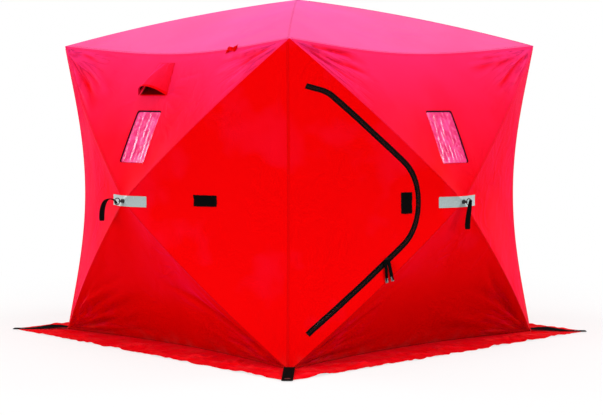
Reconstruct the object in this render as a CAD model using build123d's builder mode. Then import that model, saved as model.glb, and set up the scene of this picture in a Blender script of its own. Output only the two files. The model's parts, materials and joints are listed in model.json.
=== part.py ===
# Two-person pop-up ice fishing hut. Millimetres, +Z up.
# Origin: the centre of the base, on the ground. The door wall faces -Y and the vent wall faces -X.
# Every wall is described in its own frame: s along the wall, z up, w outwards from the base line.
import os
from math import atan2, cos, degrees, pi, sin, sqrt

from build123d import *

# Shelter
base_side = 1680.0
corner_height = 1454.0
roof_rise = 234.0  # from the top corners to the roof's tip
hub_height = 718.0
hub_reach = 270.0  # how far a wall hub stands out from the base line
cloth = 3.0

# Seams pulled in between the corners, measured at mid-seam
corner_bow = 68.0  # along both walls
top_bow = 53.0  # inwards and down
bottom_bow = 90.0  # inwards
pole_bow = 30.0  # a wall pole's bow outwards
roof_pole_bow = 22.0
panel_fullness = 0.6  # bow left at the middle of a panel, against that at its poles

# Ground skirt and its corner straps
skirt_reach = 200.0
skirt_lap = 12.0  # how far the skirt runs in under the walls
strap_width = 50.0
strap_thickness = 2.4
strap_length = 283.0
eyelet_inset = 48.0  # from the strap's end
eyelet_bore_radius = 6.0
eyelet_neck_radius = 9.0
eyelet_flange_radius = 13.0
eyelet_flange = 1.0
seat_gap = 0.3  # between curved faces that seat in each other

# Poles, hubs and corner boots
pole_radius = 5.5
pole_clearance = 9.0  # from the cloth's inner face to the pole's middle, at mid-span
hub_radius = 36.0
hub_thickness = 24.0
hub_inset = 18.0  # from the cloth's tip to the hub's outer face
hub_pole_gap = 13.0  # from the hub's middle to a pole's end
stem_radius = 8.0
knob_radius = 10.0
knob_height = 8.0
neck_radius = 3.5
neck_length = 12.0
eye_radius = 5.5
ring_radius = 15.0  # to the middle of the wire
ring_wire_radius = 2.2
boot_radius = 22.0
boot_inset = 40.0  # along both walls
boot_drop = 40.0
boot_pole_gap = 13.0

# Pull strap that hangs from each wall hub's ring
pull_width = 25.0
pull_thickness = 4.0
pull_rise = 10.0
pull_bend = 20.0
pull_drop = 95.0
pull_swing = 8.0
pull_radius = 40.0

# Windows and vent
window_width = 178.0
window_height = 242.0
window_above_hub = 175.0
window_corner = 12.0
window_shift = {"front": 16.0, "left": -16.0, "back": 0.0, "right": 0.0}
vent_middle = -38.0
vent_hole_radius = 36.0
vent_hole_drop = 169.0  # below the top corners, as are the next two
hood_mouth_drop = 249.0
hood_top_drop = 96.0
hood_mouth_width = 212.0
hood_top_width = 112.0
hood_lift = 80.0  # how far the mouth stands off the wall
hood_rise = 45.0  # how much higher the lip is at its middle
hood_top_lift = 9.0
hood_cloth = 2.0

# Door, its zip and its fold
jamb_width = 62.0
fold_gap = 0.3
fold_axis_gap = 2.0  # from the cloth at the fold's lower end out to the axis it turns about
zip_gap = 6.0
zip_margin = 56.0  # from the poles to the zip
zip_tape = 9.0
zip_thickness = 1.6
door_turn = 87.8  # from the fold to where the zip's top turns down
door_top_slope = 0.3
door_top_radius = 150.0
door_tip_radius = 255.0

# Patches and tabs
patch_thickness = 1.2
reflector_length = 125.0  # each side of the hub
reflector_height = 50.0
wall_patch_width = 105.0
wall_patch_height = 52.0
wall_patch_at = 410.0
wall_patch_rise = 13.0  # above the hubs
door_tab_width = 51.0
door_tab_height = 97.0
door_tab_inset = 60.0  # from the zip's tip to the tab's middle
door_tab_rise = 2.0
edge_tab_width = 76.0
edge_tab_height = 32.0
edge_tab_at = 400.0
edge_tab_thickness = 4.0
edge_tab_gap = 3.0  # below the seam
slider_width = 26.0
slider_height = 8.0
slider_thickness = 8.6
slider_seat_gap = 0.8  # from the zip's tape to the slider
zip_pull_width = 12.0
zip_pull_length = 104.0
zip_pull_thickness = 3.0
zip_pull_spacing = 17.0
zip_pull_at = -392.0

half_side = base_side / 2
apex_height = corner_height + roof_rise
window_sill = hub_height + window_above_hub
vent_hole_height = corner_height - vent_hole_drop
hood_mouth_height = corner_height - hood_mouth_drop
hood_top_height = corner_height - hood_top_drop
reach_all = 2 * base_side  # longer than anything it has to cut through
panel_overrun = 1.03  # panels are made past their seams and trimmed back
tip_start = 0.6 * stem_radius / base_side  # panels start inside the hole for the hub's stem
rows = 9
columns = 13

walls = {
    "front": Plane(origin=(0, -half_side, 0), x_dir=(1, 0, 0), z_dir=(0, -1, 0)),
    "left": Plane(origin=(-half_side, 0, 0), x_dir=(0, -1, 0), z_dir=(-1, 0, 0)),
    "back": Plane(origin=(0, half_side, 0), x_dir=(-1, 0, 0), z_dir=(0, 1, 0)),
    "right": Plane(origin=(half_side, 0, 0), x_dir=(0, 1, 0), z_dir=(1, 0, 0)),
}
corners = [(-1, -1), (-1, 1), (1, 1), (1, -1)]


def bow(t):
    """Share of a seam's bow at t, 0 at both of its ends and 1 in the middle."""
    x = 4 * t * (1 - t)
    return x * (2 + x) / 3


def ease(u):
    """How much of a seam's bow reaches the cloth at u, from 0 at the hub to 1 at the seam."""
    return u * (2 + 3 * u) / 5


def swell(u, t):
    """Share of a pole's bow that the cloth has at u along the pole and t across the panel."""
    return 4 * u * (1 - u) * (1 - (1 - panel_fullness) * 4 * t * (1 - t))


def seam(side, t):
    """A wall's seam in the wall's frame, as s, z, w."""
    if side == "right":
        return half_side - corner_bow * bow(t), t * corner_height, -corner_bow * bow(t)
    if side == "left":
        return corner_bow * bow(t) - half_side, t * corner_height, -corner_bow * bow(t)
    along = (2 * t - 1) * half_side
    if side == "upper":
        return along, corner_height - top_bow * bow(t), -top_bow * bow(t)
    return along, 0.0, -bottom_bow * bow(t)


def wall_point(side, u, t):
    s, z, w = seam(side, t)
    out = hub_reach * (1 - u) + w * ease(u) + pole_bow * swell(u, t)
    return Vector(u * s, hub_height + u * (z - hub_height), out)


def roof_point(u, t):
    s, z, w = seam("upper", t)
    height = apex_height * (1 - u) + corner_height * u + (z - corner_height) * ease(u)
    return Vector(u * s, height + roof_pole_bow * swell(u, t), u * (half_side + w) - half_side)


def wall_out(side, s, z):
    """How far out the cloth of a side stands at s, z."""
    low, high = 0.0, 1.0
    target = atan2(z - hub_height, abs(s)) if side in ("left", "right") else atan2(s, abs(z - hub_height))
    for step in range(40):
        t = (low + high) / 2
        es, ez, ew = seam(side, t)
        here = atan2(ez - hub_height, abs(es)) if side in ("left", "right") else atan2(es, abs(ez - hub_height))
        if here < target:
            low = t
        else:
            high = t
    u = abs(s / es) if side in ("left", "right") else (z - hub_height) / (ez - hub_height)
    return wall_point(side, u, t).Z


def skin(wall, point, start=tip_start):
    """The outer face of a panel, run a little past its seam."""
    grid = []
    for row in range(rows):
        u = start + (panel_overrun - start) * row / (rows - 1)
        line = [walls[wall].from_local_coords(point(u, column / (columns - 1))) for column in range(columns)]
        grid.append(line)
    return Face.make_surface_from_array_of_points(grid, tol=0.005, min_deg=3, max_deg=6)


def wall_skin(wall, side):
    return skin(wall, lambda u, t: wall_point(side, u, t))


def trim_plane(wall, at, normal):
    origin = walls[wall].from_local_coords(Vector(*at))
    way = walls[wall].from_local_coords(Vector(*at) + Vector(*normal)) - origin
    return Plane(origin=origin, z_dir=way)


def seam_planes(wall, side):
    """The planes that a wall panel is trimmed to, each facing away from the panel."""
    planes = []
    if side != "left":
        planes.append(trim_plane(wall, (half_side, 0, 0), (1, 0, -1)))
    if side != "right":
        planes.append(trim_plane(wall, (-half_side, 0, 0), (-1, 0, -1)))
    if side != "lower":
        planes.append(trim_plane(wall, (0, corner_height, 0), (0, 1, -1)))
    if side != "upper":
        planes.append(trim_plane(wall, (0, cloth, 0), (0, -1, 0)))
    return planes


def through(wall, draw):
    """A prism through a wall, with the outline that draw makes in the wall's s, z plane."""
    with BuildPart(mode=Mode.PRIVATE) as prism:
        with BuildSketch(walls[wall]):
            draw()
        extrude(amount=reach_all / 4, both=True)
    return prism.part


def on_panel(wall, side, draw, thickness):
    """A flat piece that lies on a panel's outer face, cut to an outline."""
    with BuildPart(mode=Mode.PRIVATE) as piece:
        extrude(wall_skin(wall, side), amount=thickness, dir=walls[wall].z_dir)
        add(through(wall, draw), mode=Mode.INTERSECT)
    return piece.part


def save(piece, name):
    piece.label = name
    export_step(piece, "parts/" + name + ".step")


def hub_hole():
    with Locations((0, hub_height)):
        Circle(stem_radius + seat_gap)


def window_outline(wall):
    with Locations((window_shift[wall], window_sill + window_height / 2)):
        RectangleRounded(window_width, window_height, window_corner)


def vent_outline():
    with Locations((vent_middle, vent_hole_height)):
        Circle(vent_hole_radius)


# Door outline ------------------------------------------------------------------------------------


def meet(p, angle_p, q, angle_q):
    """Where two lines cross, each given by a point and the way it runs."""
    across = cos(angle_p) * sin(angle_q) - sin(angle_p) * cos(angle_q)
    along = ((q[0] - p[0]) * sin(angle_q) - (q[1] - p[1]) * cos(angle_q)) / across
    return p[0] + along * cos(angle_p), p[1] + along * sin(angle_p)


upper_pole_angle = atan2(hub_height - corner_height, half_side)
lower_pole_angle = atan2(-hub_height, -half_side)
top_angle = atan2(-door_top_slope, 1)


def beside_corner(z):
    """How far along the wall the jamb's edge would be if it followed the corner seam at z."""
    return corner_bow * bow(z / corner_height) - half_side + jamb_width


def beside_pole(angle, margin):
    """A point at a margin from a pole, on the door's side of it."""
    return margin * sin(angle), hub_height - margin * cos(angle)


# The jamb's width sets how far along the wall the fold ends, and the zip's turn sets how high
door_top = corner_height
for step in range(12):
    fold_end = beside_corner(door_top)
    turn = meet(beside_pole(upper_pole_angle, zip_margin), upper_pole_angle, (fold_end + door_turn, 0), pi / 2)
    door_top = turn[1] + door_top_slope * door_turn
fold_bottom = meet(beside_pole(lower_pole_angle, zip_margin), lower_pole_angle, (fold_end, 0), pi / 2)[1]

# The fold is an arc that bows from its two ends as the corner seam beside it does
fold_middle = (door_top + fold_bottom) / 2
fold_sag = beside_corner(fold_middle) - fold_end
fold_half = (door_top - fold_bottom) / 2
fold_radius = (fold_half**2 + fold_sag**2) / (2 * fold_sag)


def fold_at(z):
    return fold_end + fold_sag - fold_radius + sqrt(fold_radius**2 - (z - fold_middle) ** 2)


fold_axis = (fold_end + fold_gap / 2, wall_out("left", fold_end, fold_bottom) + fold_axis_gap)


def door_points(inset, fold_inset):
    """The door's outline moved in by inset, and by fold_inset at the fold: its corners and mid-fold."""
    above = beside_pole(upper_pole_angle, zip_margin + inset)
    below = beside_pole(lower_pole_angle, zip_margin + inset)
    top_line = (fold_end + inset * sin(top_angle), door_top - inset * cos(top_angle))
    top = (fold_end, door_top)
    bottom = (fold_end, fold_bottom)
    for step in range(6):
        top = meet(top_line, top_angle, (fold_at(top[1]) + fold_inset, 0), pi / 2)
        bottom = meet(below, lower_pole_angle, (fold_at(bottom[1]) + fold_inset, 0), pi / 2)
    top_turn = meet(top_line, top_angle, above, upper_pole_angle)
    tip = meet(above, upper_pole_angle, below, lower_pole_angle)
    return top, top_turn, tip, bottom, (fold_at(fold_middle) + fold_inset, fold_middle)


def door_outline(inset, fold_inset):
    top, top_turn, tip, bottom, middle = door_points(inset, fold_inset)
    with BuildLine() as outline:
        FilletPolyline(top, top_turn, tip, bottom, radius=[door_top_radius - inset, door_tip_radius - inset])
        ThreePointArc(bottom, middle, top)
    make_face(outline.edges())


def jamb_outline():
    top, top_turn, tip, bottom, middle = door_points(0, 0)
    with BuildLine() as outline:
        Polyline(top, (-half_side - jamb_width, top[1]), (-half_side - jamb_width, bottom[1]), bottom)
        ThreePointArc(bottom, middle, top)
    make_face(outline.edges())


def zip_tip():
    """The zip's point nearest to the hub."""
    tip = door_points(0, 0)[2]
    half_angle = (upper_pole_angle - (lower_pole_angle + pi)) / 2
    return tip[0] - door_tip_radius * (1 / sin(abs(half_angle)) - 1), tip[1]


# Wall panels -------------------------------------------------------------------------------------

os.makedirs("parts", exist_ok=True)

def panel_blank(wall, side):
    with BuildPart(mode=Mode.PRIVATE) as blank:
        extrude(wall_skin(wall, side), amount=cloth, dir=-walls[wall].z_dir)
        for plane in seam_planes(wall, side):
            split(bisect_by=plane, keep=Keep.BOTTOM)
        add(through(wall, hub_hole), mode=Mode.SUBTRACT)
    return blank.part


for wall in walls:
    for side in ("upper", "lower", "left", "right"):
        if (wall, side) == ("front", "left"):
            continue
        with BuildPart() as panel:
            add(panel_blank(wall, side))
            if side == "upper":
                add(through(wall, lambda: window_outline(wall)), mode=Mode.SUBTRACT)
            if (wall, side) == ("left", "upper"):
                add(through(wall, vent_outline), mode=Mode.SUBTRACT)
        save(panel.part, wall + "_wall_" + side + "_panel")

with BuildPart() as window_panes:
    for wall in walls:
        add(panel_blank(wall, "upper").intersect(through(wall, lambda: window_outline(wall))))
save(window_panes.part, "window_panes")

# Door wall's panel beside the door: a jamb, and a surround above and below the door
door_blank = panel_blank("front", "left")
hub_level = trim_plane("front", (0, hub_height, 0), (0, 1, 0))

with BuildPart() as door_jamb:
    add(door_blank)
    add(through("front", jamb_outline), mode=Mode.INTERSECT)
save(door_jamb.part, "door_jamb")

for name, keep in (("door_surround_upper", Keep.TOP), ("door_surround_lower", Keep.BOTTOM)):
    with BuildPart() as surround:
        add(door_blank)
        add(through("front", lambda: door_outline(0, 0)), mode=Mode.SUBTRACT)
        add(through("front", jamb_outline), mode=Mode.SUBTRACT)
        split(bisect_by=hub_level, keep=keep)
    save(surround.part, name)

with BuildPart() as door_flap:
    add(door_blank)
    add(through("front", lambda: door_outline(zip_gap, fold_gap)), mode=Mode.INTERSECT)
save(door_flap.part, "door_flap")

# Zip tapes, one on the wall and one on the door
with BuildPart() as zip_wall_side:
    add(on_panel("front", "left", lambda: door_outline(-zip_tape, 0), zip_thickness))
    add(through("front", lambda: door_outline(0, -jamb_width / 2)), mode=Mode.SUBTRACT)
save(zip_wall_side.part, "zip_wall_side")

with BuildPart() as zip_door_side:
    add(on_panel("front", "left", lambda: door_outline(zip_gap, fold_gap), zip_thickness))
    add(through("front", lambda: door_outline(zip_gap + zip_tape, 0)), mode=Mode.SUBTRACT)
save(zip_door_side.part, "zip_door_side")


def box_outline(middle, width, height):
    with Locations(middle):
        Rectangle(width, height)


# Zip slider on the door's tape, with two pull tabs that hang clear of the wall's tape
def lower_zip_at(s, inset):
    return meet(beside_pole(lower_pole_angle, zip_margin + inset), lower_pole_angle, (s, 0), pi / 2)[1]


slider_middle = lower_zip_at(zip_pull_at, zip_gap + zip_tape / 2)
slider_rest = wall_out("left", zip_pull_at, slider_middle)
slope_s = wall_out("left", zip_pull_at + 1, slider_middle) - slider_rest
slope_z = wall_out("left", zip_pull_at, slider_middle + 1) - slider_rest
front = walls["front"]
slider_face = Plane(
    origin=front.from_local_coords(Vector(zip_pull_at, slider_middle, slider_rest + zip_thickness)),
    x_dir=front.x_dir + front.z_dir * slope_s,
    z_dir=front.z_dir - front.x_dir * slope_s - front.y_dir * slope_z,
)
with BuildPart() as zip_pulls:
    with BuildSketch(slider_face.offset(slider_seat_gap)):
        Rectangle(slider_width, slider_height, rotation=degrees(lower_pole_angle + pi))
    extrude(amount=slider_thickness)
    with BuildSketch(slider_face.offset(slider_seat_gap + slider_thickness - zip_pull_thickness)):
        with Locations((0, -zip_pull_length / 2)):
            with GridLocations(zip_pull_spacing, 0, 2, 1):
                Rectangle(zip_pull_width, zip_pull_length)
    extrude(amount=zip_pull_thickness)
save(zip_pulls.part, "zip_pulls")

tab_middle = (zip_tip()[0] - door_tab_inset, zip_tip()[1] + door_tab_rise)
with BuildPart() as door_tab:
    draw = lambda: box_outline(tab_middle, door_tab_width, door_tab_height)
    add(on_panel("front", "left", draw, patch_thickness))
save(door_tab.part, "door_tab")

with BuildPart() as wall_patch:
    draw = lambda: box_outline((wall_patch_at, hub_height + wall_patch_rise), wall_patch_width, wall_patch_height)
    add(on_panel("left", "right", draw, patch_thickness))
save(wall_patch.part, "wall_patch")

with BuildPart() as reflective_patches:
    for wall in walls:
        for side in ("left", "right"):
            draw = lambda: box_outline((0, hub_height), 2 * reflector_length, reflector_height)
            with BuildPart(mode=Mode.PRIVATE) as reflector:
                add(on_panel(wall, side, draw, patch_thickness))
                add(through(wall, hub_hole), mode=Mode.SUBTRACT)
            add(reflector.part)
save(reflective_patches.part, "reflective_patches")

with BuildPart() as roof_edge_tab:
    seam_z = corner_height - top_bow * bow((edge_tab_at + half_side) / base_side)
    middle = (edge_tab_at, seam_z - edge_tab_gap - edge_tab_height / 2)
    draw = lambda: box_outline(middle, edge_tab_width, edge_tab_height)
    add(on_panel("left", "upper", draw, edge_tab_thickness))
save(roof_edge_tab.part, "roof_edge_tab")

# Roof panels -------------------------------------------------------------------------------------

for wall in walls:
    with BuildPart() as panel:
        extrude(skin(wall, roof_point), amount=cloth, dir=(0, 0, -1))
        split(bisect_by=trim_plane(wall, (0, corner_height, 0), (0, 1, -1)), keep=Keep.TOP)
        with BuildSketch(Plane.XY):
            Circle(stem_radius + seat_gap)
        extrude(amount=reach_all, mode=Mode.SUBTRACT)
    save(panel.part, wall + "_roof_panel")

# Vent hood ---------------------------------------------------------------------------------------


def hood_point(down, across):
    """A point of the hood, down from its top and across from -1 to 1."""
    arch = 1 - across * across
    width = hood_top_width + (hood_mouth_width - hood_top_width) * down
    s = vent_middle + across * width / 2
    z = hood_top_height + (hood_mouth_height - hood_top_height) * down + hood_rise * arch * down
    lift = hood_top_lift + (hood_lift - hood_top_lift) * down
    return Vector(s, z, wall_out("upper", s, z) + seat_gap + lift * arch)


with BuildPart() as vent_hood:
    grid = []
    for row in range(rows):
        down = row / (rows - 1)
        line = [hood_point(down, 2 * column / (columns - 1) - 1) for column in range(columns)]
        grid.append([walls["left"].from_local_coords(point) for point in line])
    hood_face = Face.make_surface_from_array_of_points(grid, tol=0.05, min_deg=3, max_deg=6)
    extrude(hood_face, amount=hood_cloth, dir=walls["left"].z_dir)
save(vent_hood.part, "vent_hood")

# Ground skirt, corner straps and eyelets ---------------------------------------------------------

eyelet_out = strap_length - eyelet_inset
eyelet_places = []
for side_x, side_y in corners:
    away = half_side + eyelet_out / sqrt(2)
    eyelet_places.append((side_x * away, side_y * away))

for wall in walls:
    ground = Plane(origin=walls[wall].origin, x_dir=walls[wall].x_dir, z_dir=(0, 0, 1))
    with BuildPart() as skirt:
        with BuildSketch(ground):
            with BuildLine() as outline:
                inner = half_side - skirt_lap
                outer = half_side + skirt_reach
                Polyline((-inner, skirt_lap), (-outer, -skirt_reach), (outer, -skirt_reach), (inner, skirt_lap))
                ThreePointArc((inner, skirt_lap), (0, bottom_bow + cloth + skirt_lap), (-inner, skirt_lap))
            make_face()
        extrude(amount=cloth)
        with BuildSketch(Plane.XY):
            with Locations(eyelet_places):
                Circle(eyelet_neck_radius)
        extrude(amount=cloth, mode=Mode.SUBTRACT)
    save(skirt.part, wall + "_skirt")

with BuildPart() as corner_straps:
    for side_x, side_y in corners:
        corner = Plane(origin=(side_x * half_side, side_y * half_side, cloth), x_dir=(side_x, side_y, 0))
        with BuildSketch(corner):
            with Locations((seat_gap + strap_length / 2, 0)):
                Rectangle(strap_length, strap_width)
        extrude(amount=strap_thickness)
    with BuildSketch(Plane.XY):
        with Locations(eyelet_places):
            Circle(eyelet_neck_radius)
    extrude(amount=cloth + strap_thickness, mode=Mode.SUBTRACT)
save(corner_straps.part, "corner_straps")

with BuildPart() as strap_eyelets:
    with BuildSketch(Plane.XY):
        with Locations(eyelet_places):
            Circle(eyelet_neck_radius - seat_gap)
    extrude(amount=cloth + strap_thickness)
    with BuildSketch(Plane.XY.offset(cloth + strap_thickness)):
        with Locations(eyelet_places):
            Circle(eyelet_flange_radius)
    extrude(amount=eyelet_flange)
    with BuildSketch(Plane.XY):
        with Locations(eyelet_places):
            Circle(eyelet_bore_radius)
    extrude(amount=cloth + strap_thickness + eyelet_flange, mode=Mode.SUBTRACT)
save(strap_eyelets.part, "strap_eyelets")

# Poles, hubs and boots ---------------------------------------------------------------------------

hub_out = hub_reach - hub_inset - hub_thickness / 2
roof_hub_height = apex_height - hub_inset - hub_thickness / 2


def rod(first, middle, last, first_gap, last_gap, radius):
    """A bowed rod on the arc through three points, cut short by a gap at each end."""
    whole = Edge.make_three_point_arc(first, middle, last)
    start = whole @ (first_gap / whole.length)
    end = whole @ (1 - last_gap / whole.length)
    with BuildPart(mode=Mode.PRIVATE) as bar:
        with BuildLine() as route:
            ThreePointArc(start, whole @ 0.5, end)
        with BuildSketch(Plane(origin=route.line @ 0, z_dir=route.line % 0)):
            Circle(radius)
        sweep(path=route.line)
    return bar.part


def wall_rods(radius):
    rods = []
    for wall in walls:
        for side in ("upper", "lower"):
            for end, way in ((0, -1), (1, 1)):
                height = corner_height - boot_drop if side == "upper" else boot_drop
                middle = wall_point(side, 0.5, end) - Vector(0, 0, cloth + pole_clearance)
                route = [
                    Vector(0, hub_height, hub_out),
                    middle,
                    Vector(way * (half_side - boot_inset), height, -boot_inset),
                ]
                route = [walls[wall].from_local_coords(point) for point in route]
                rods.append(rod(*route, hub_pole_gap, boot_pole_gap, radius))
    return rods


def roof_rods(radius):
    rods = []
    for side_x, side_y in corners:
        middle = roof_point(0.5, 0).Y - cloth - pole_clearance
        inner = half_side - boot_inset
        route = [
            Vector(0, 0, roof_hub_height),
            Vector(side_x * half_side / 2, side_y * half_side / 2, middle),
            Vector(side_x * inner, side_y * inner, corner_height - boot_drop),
        ]
        rods.append(rod(*route, hub_pole_gap, boot_pole_gap, radius))
    return rods


wall_bores = wall_rods(pole_radius + seat_gap)
roof_bores = roof_rods(pole_radius + seat_gap)

with BuildPart() as wall_poles:
    for bar in wall_rods(pole_radius):
        add(bar)
save(wall_poles.part, "wall_poles")

with BuildPart() as roof_poles:
    for bar in roof_rods(pole_radius):
        add(bar)
save(roof_poles.part, "roof_poles")

eye_out = hub_reach + seat_gap + knob_height + neck_length
ring_places = []
for wall in walls:
    middle = walls[wall].from_local_coords(Vector(0, hub_height, eye_out + ring_radius))
    ring_places.append(Plane(origin=middle, z_dir=walls[wall].x_dir))


def hub_body(base):
    """A hub, its stem through the cloth and its outer knob, along the plane's normal."""
    with BuildPart(mode=Mode.PRIVATE) as body:
        with BuildSketch(base.offset(-hub_inset - hub_thickness)):
            Circle(hub_radius)
        extrude(amount=hub_thickness)
        with BuildSketch(base.offset(-hub_inset)):
            Circle(stem_radius)
        extrude(amount=hub_inset + seat_gap)
        with BuildSketch(base.offset(seat_gap)):
            Circle(knob_radius)
        extrude(amount=knob_height)
    return body.part


with BuildPart() as wall_hubs:
    for wall in walls:
        tip = walls[wall].from_local_coords(Vector(0, hub_height, hub_reach))
        base = Plane(origin=tip, x_dir=walls[wall].x_dir, z_dir=walls[wall].z_dir)
        add(hub_body(base))
        with BuildSketch(base.offset(seat_gap + knob_height)):
            Circle(neck_radius)
        extrude(amount=neck_length)
        with Locations(base.offset(seat_gap + knob_height + neck_length)):
            Sphere(eye_radius)
    add(wall_bores, mode=Mode.SUBTRACT)
    with Locations(*ring_places):
        Torus(ring_radius, ring_wire_radius + seat_gap, mode=Mode.SUBTRACT)
save(wall_hubs.part, "wall_hubs")

with BuildPart() as roof_hub:
    add(hub_body(Plane.XY.offset(apex_height)))
    add(roof_bores, mode=Mode.SUBTRACT)
save(roof_hub.part, "roof_hub")

with BuildPart() as hub_rings:
    with Locations(*ring_places):
        Torus(ring_radius, ring_wire_radius)
save(hub_rings.part, "hub_rings")

with BuildPart() as corner_boots:
    for side_x, side_y in corners:
        inner = half_side - boot_inset
        for height in (boot_drop, corner_height - boot_drop):
            with Locations((side_x * inner, side_y * inner, height)):
                Sphere(boot_radius)
    add(wall_bores, mode=Mode.SUBTRACT)
    add(roof_bores, mode=Mode.SUBTRACT)
save(corner_boots.part, "corner_boots")

# Pull straps, against the outermost point of each ring ------------------------------------------

strap_out = eye_out + 2 * ring_radius + ring_wire_radius + seat_gap + pull_thickness / 2
with BuildPart() as pull_straps:
    for wall in walls:
        stations = [(strap_out, pull_rise), (strap_out, -pull_bend), (strap_out + pull_swing, -pull_drop)]
        route = [walls[wall].from_local_coords(Vector(0, hub_height + rise, out)) for out, rise in stations]
        with BuildLine() as path:
            FilletPolyline(*route, radius=pull_radius)
        start = Plane(origin=route[0], x_dir=walls[wall].x_dir, z_dir=(0, 0, -1))
        with BuildSketch(start):
            Rectangle(pull_width, pull_thickness)
        sweep(path=path.line)
save(pull_straps.part, "pull_straps")

print("door fold axis s, w", fold_axis, "fold from", fold_bottom, "to", door_top)
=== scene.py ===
import json
import math
import random
from functools import partial

import bmesh
import bpy
import numpy as np
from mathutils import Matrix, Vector
from mathutils.geometry import delaunay_2d_cdt

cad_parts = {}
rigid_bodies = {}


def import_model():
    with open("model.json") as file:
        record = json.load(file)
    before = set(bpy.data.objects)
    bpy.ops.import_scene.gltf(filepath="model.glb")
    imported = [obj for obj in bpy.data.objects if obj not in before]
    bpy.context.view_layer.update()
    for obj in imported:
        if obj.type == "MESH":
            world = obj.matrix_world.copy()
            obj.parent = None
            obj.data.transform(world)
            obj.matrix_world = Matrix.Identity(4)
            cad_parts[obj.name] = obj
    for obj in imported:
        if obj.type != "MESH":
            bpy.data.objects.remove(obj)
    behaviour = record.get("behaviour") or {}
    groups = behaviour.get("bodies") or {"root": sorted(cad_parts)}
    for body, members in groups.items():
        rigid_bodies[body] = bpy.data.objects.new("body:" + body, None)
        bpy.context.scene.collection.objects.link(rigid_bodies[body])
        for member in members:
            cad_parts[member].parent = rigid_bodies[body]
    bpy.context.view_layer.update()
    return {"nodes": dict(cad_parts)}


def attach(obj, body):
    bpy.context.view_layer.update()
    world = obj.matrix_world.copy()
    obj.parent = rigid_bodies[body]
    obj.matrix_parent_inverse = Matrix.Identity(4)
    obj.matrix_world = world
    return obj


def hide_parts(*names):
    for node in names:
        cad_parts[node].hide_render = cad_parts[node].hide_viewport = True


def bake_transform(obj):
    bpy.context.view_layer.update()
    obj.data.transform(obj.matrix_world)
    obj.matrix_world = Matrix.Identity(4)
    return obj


for spare in list(bpy.data.objects):
    bpy.data.objects.remove(spare)
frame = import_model()
nodes = frame["nodes"]
print("frame loaded,", len(nodes), "nodes")

# metres; the same rules as the CAD's cloth: s along a wall, z up, w outwards from the base line
shelter = {
    "halfSide": 0.840,
    "cornerHeight": 1.454,
    "apexHeight": 1.688,
    "hubHeight": 0.718,
    "hubReach": 0.270,
    "cornerBow": 0.068,
    "topBow": 0.053,
    "bottomBow": 0.090,
    "poleBow": 0.030,
    "roofPoleBow": 0.022,
    "fullness": 0.6,  # bow left at mid-panel
    "clothThick": 0.0012,
    "grid": 0.0115,  # spacing of a panel's vertices
    "stemHole": 0.0083,
}
half = shelter["halfSide"]
top = shelter["cornerHeight"]
hub = shelter["hubHeight"]
sides = ("upper", "lower", "left", "right")
up = np.array([0.0, 0.0, 1.0])
wallAxes = {  # the ways along each wall and out of it
    "front": np.array([(1, 0, 0), (0, -1, 0)], float),
    "left": np.array([(0, -1, 0), (-1, 0, 0)], float),
    "back": np.array([(-1, 0, 0), (0, 1, 0)], float),
    "right": np.array([(0, 1, 0), (1, 0, 0)], float),
}
wallSeeds = {"front": 11, "left": 27, "back": 43, "right": 59}
sideSeeds = {"upper": 1, "lower": 4, "left": 7, "right": 10}


# Points in the frame from s, z and w on a wall.
def toRow(wall, s, z, w):
    along, out = wallAxes[wall]
    s, z, w = (np.asarray(value, float)[..., None] for value in np.broadcast_arrays(s, z, w))
    return s * along + (w + half) * out + z * up


def unit(ways):
    return ways / np.linalg.norm(ways, axis=-1, keepdims=True)


# Distance along a line of points, at each point.
def reachAlong(points):
    return np.concatenate([[0], np.cumsum(np.linalg.norm(np.diff(points, axis=0), axis=1))])


def bow(t):
    x = 4 * t * (1 - t)
    return x * (2 + x) / 3


def smooth(low, high, x):
    t = np.clip((x - low) / (high - low), 0, 1)
    return t * t * (3 - 2 * t)


# A bell of that width about a middle.
def bell(x, middle, width):
    return np.exp(-(((x - middle) / width) ** 2))


# Half the roof's width at a place along its edge.
def roofEdge(t):
    return half - shelter["topBow"] * bow(t)


# A panel's seam at t from 0 to 1, as s, z and w.
def seamAt(side, t):
    if side in ("left", "right"):
        drawn = shelter["cornerBow"] * bow(t)
        return (half - drawn) * (1 if side == "right" else -1), t * top, -drawn
    along = (2 * t - 1) * half
    if side == "upper":
        drawn = shelter["topBow"] * bow(t)
        return along, top - drawn, -drawn
    return along, 0.0 * t, -shelter["bottomBow"] * bow(t)


def seamPath(side, t):
    s, z, w = seamAt(side, t)
    return np.column_stack([s, z])


def swell(u, t):
    return 4 * u * (1 - u) * (1 - (1 - shelter["fullness"]) * 4 * t * (1 - t))


# The t where a value that rises with t reaches its target.
def solveRising(value, target, halvings=34):
    low, high = np.zeros(np.shape(target)), np.ones(np.shape(target))
    for step in range(halvings):
        t = (low + high) / 2
        less = value(t) < target
        low, high = np.where(less, t, low), np.where(less, high, t)
    return t


# The smooth cloth of a panel: w, and u from 0 at the hub to 1 at the seam.
def clothAt(side, s, z):
    across = side in ("left", "right")

    def heading(a, b):
        return np.arctan2(b - hub, np.abs(a)) if across else np.arctan2(a, np.abs(b - hub))

    t = solveRising(lambda t: heading(*seamAt(side, t)[:2]), heading(s, z))
    es, ez, ew = seamAt(side, t)
    u = np.abs(s / es) if across else (z - hub) / (ez - hub)
    return shelter["hubReach"] * (1 - u) + ew * u * (2 + 3 * u) / 5 + shelter["poleBow"] * swell(u, t), u


# Flat cuts, meshed inside their outlines

cutting = {  # shares of the usual spacing between vertices
    "fine": 0.62,  # where folds gather
    "hole": 0.6,  # round a hole
    "rimGap": 0.55,  # least distance to the rim
    "sliver": 0.002,  # least height of a triangle, as a share of its length
}


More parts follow.
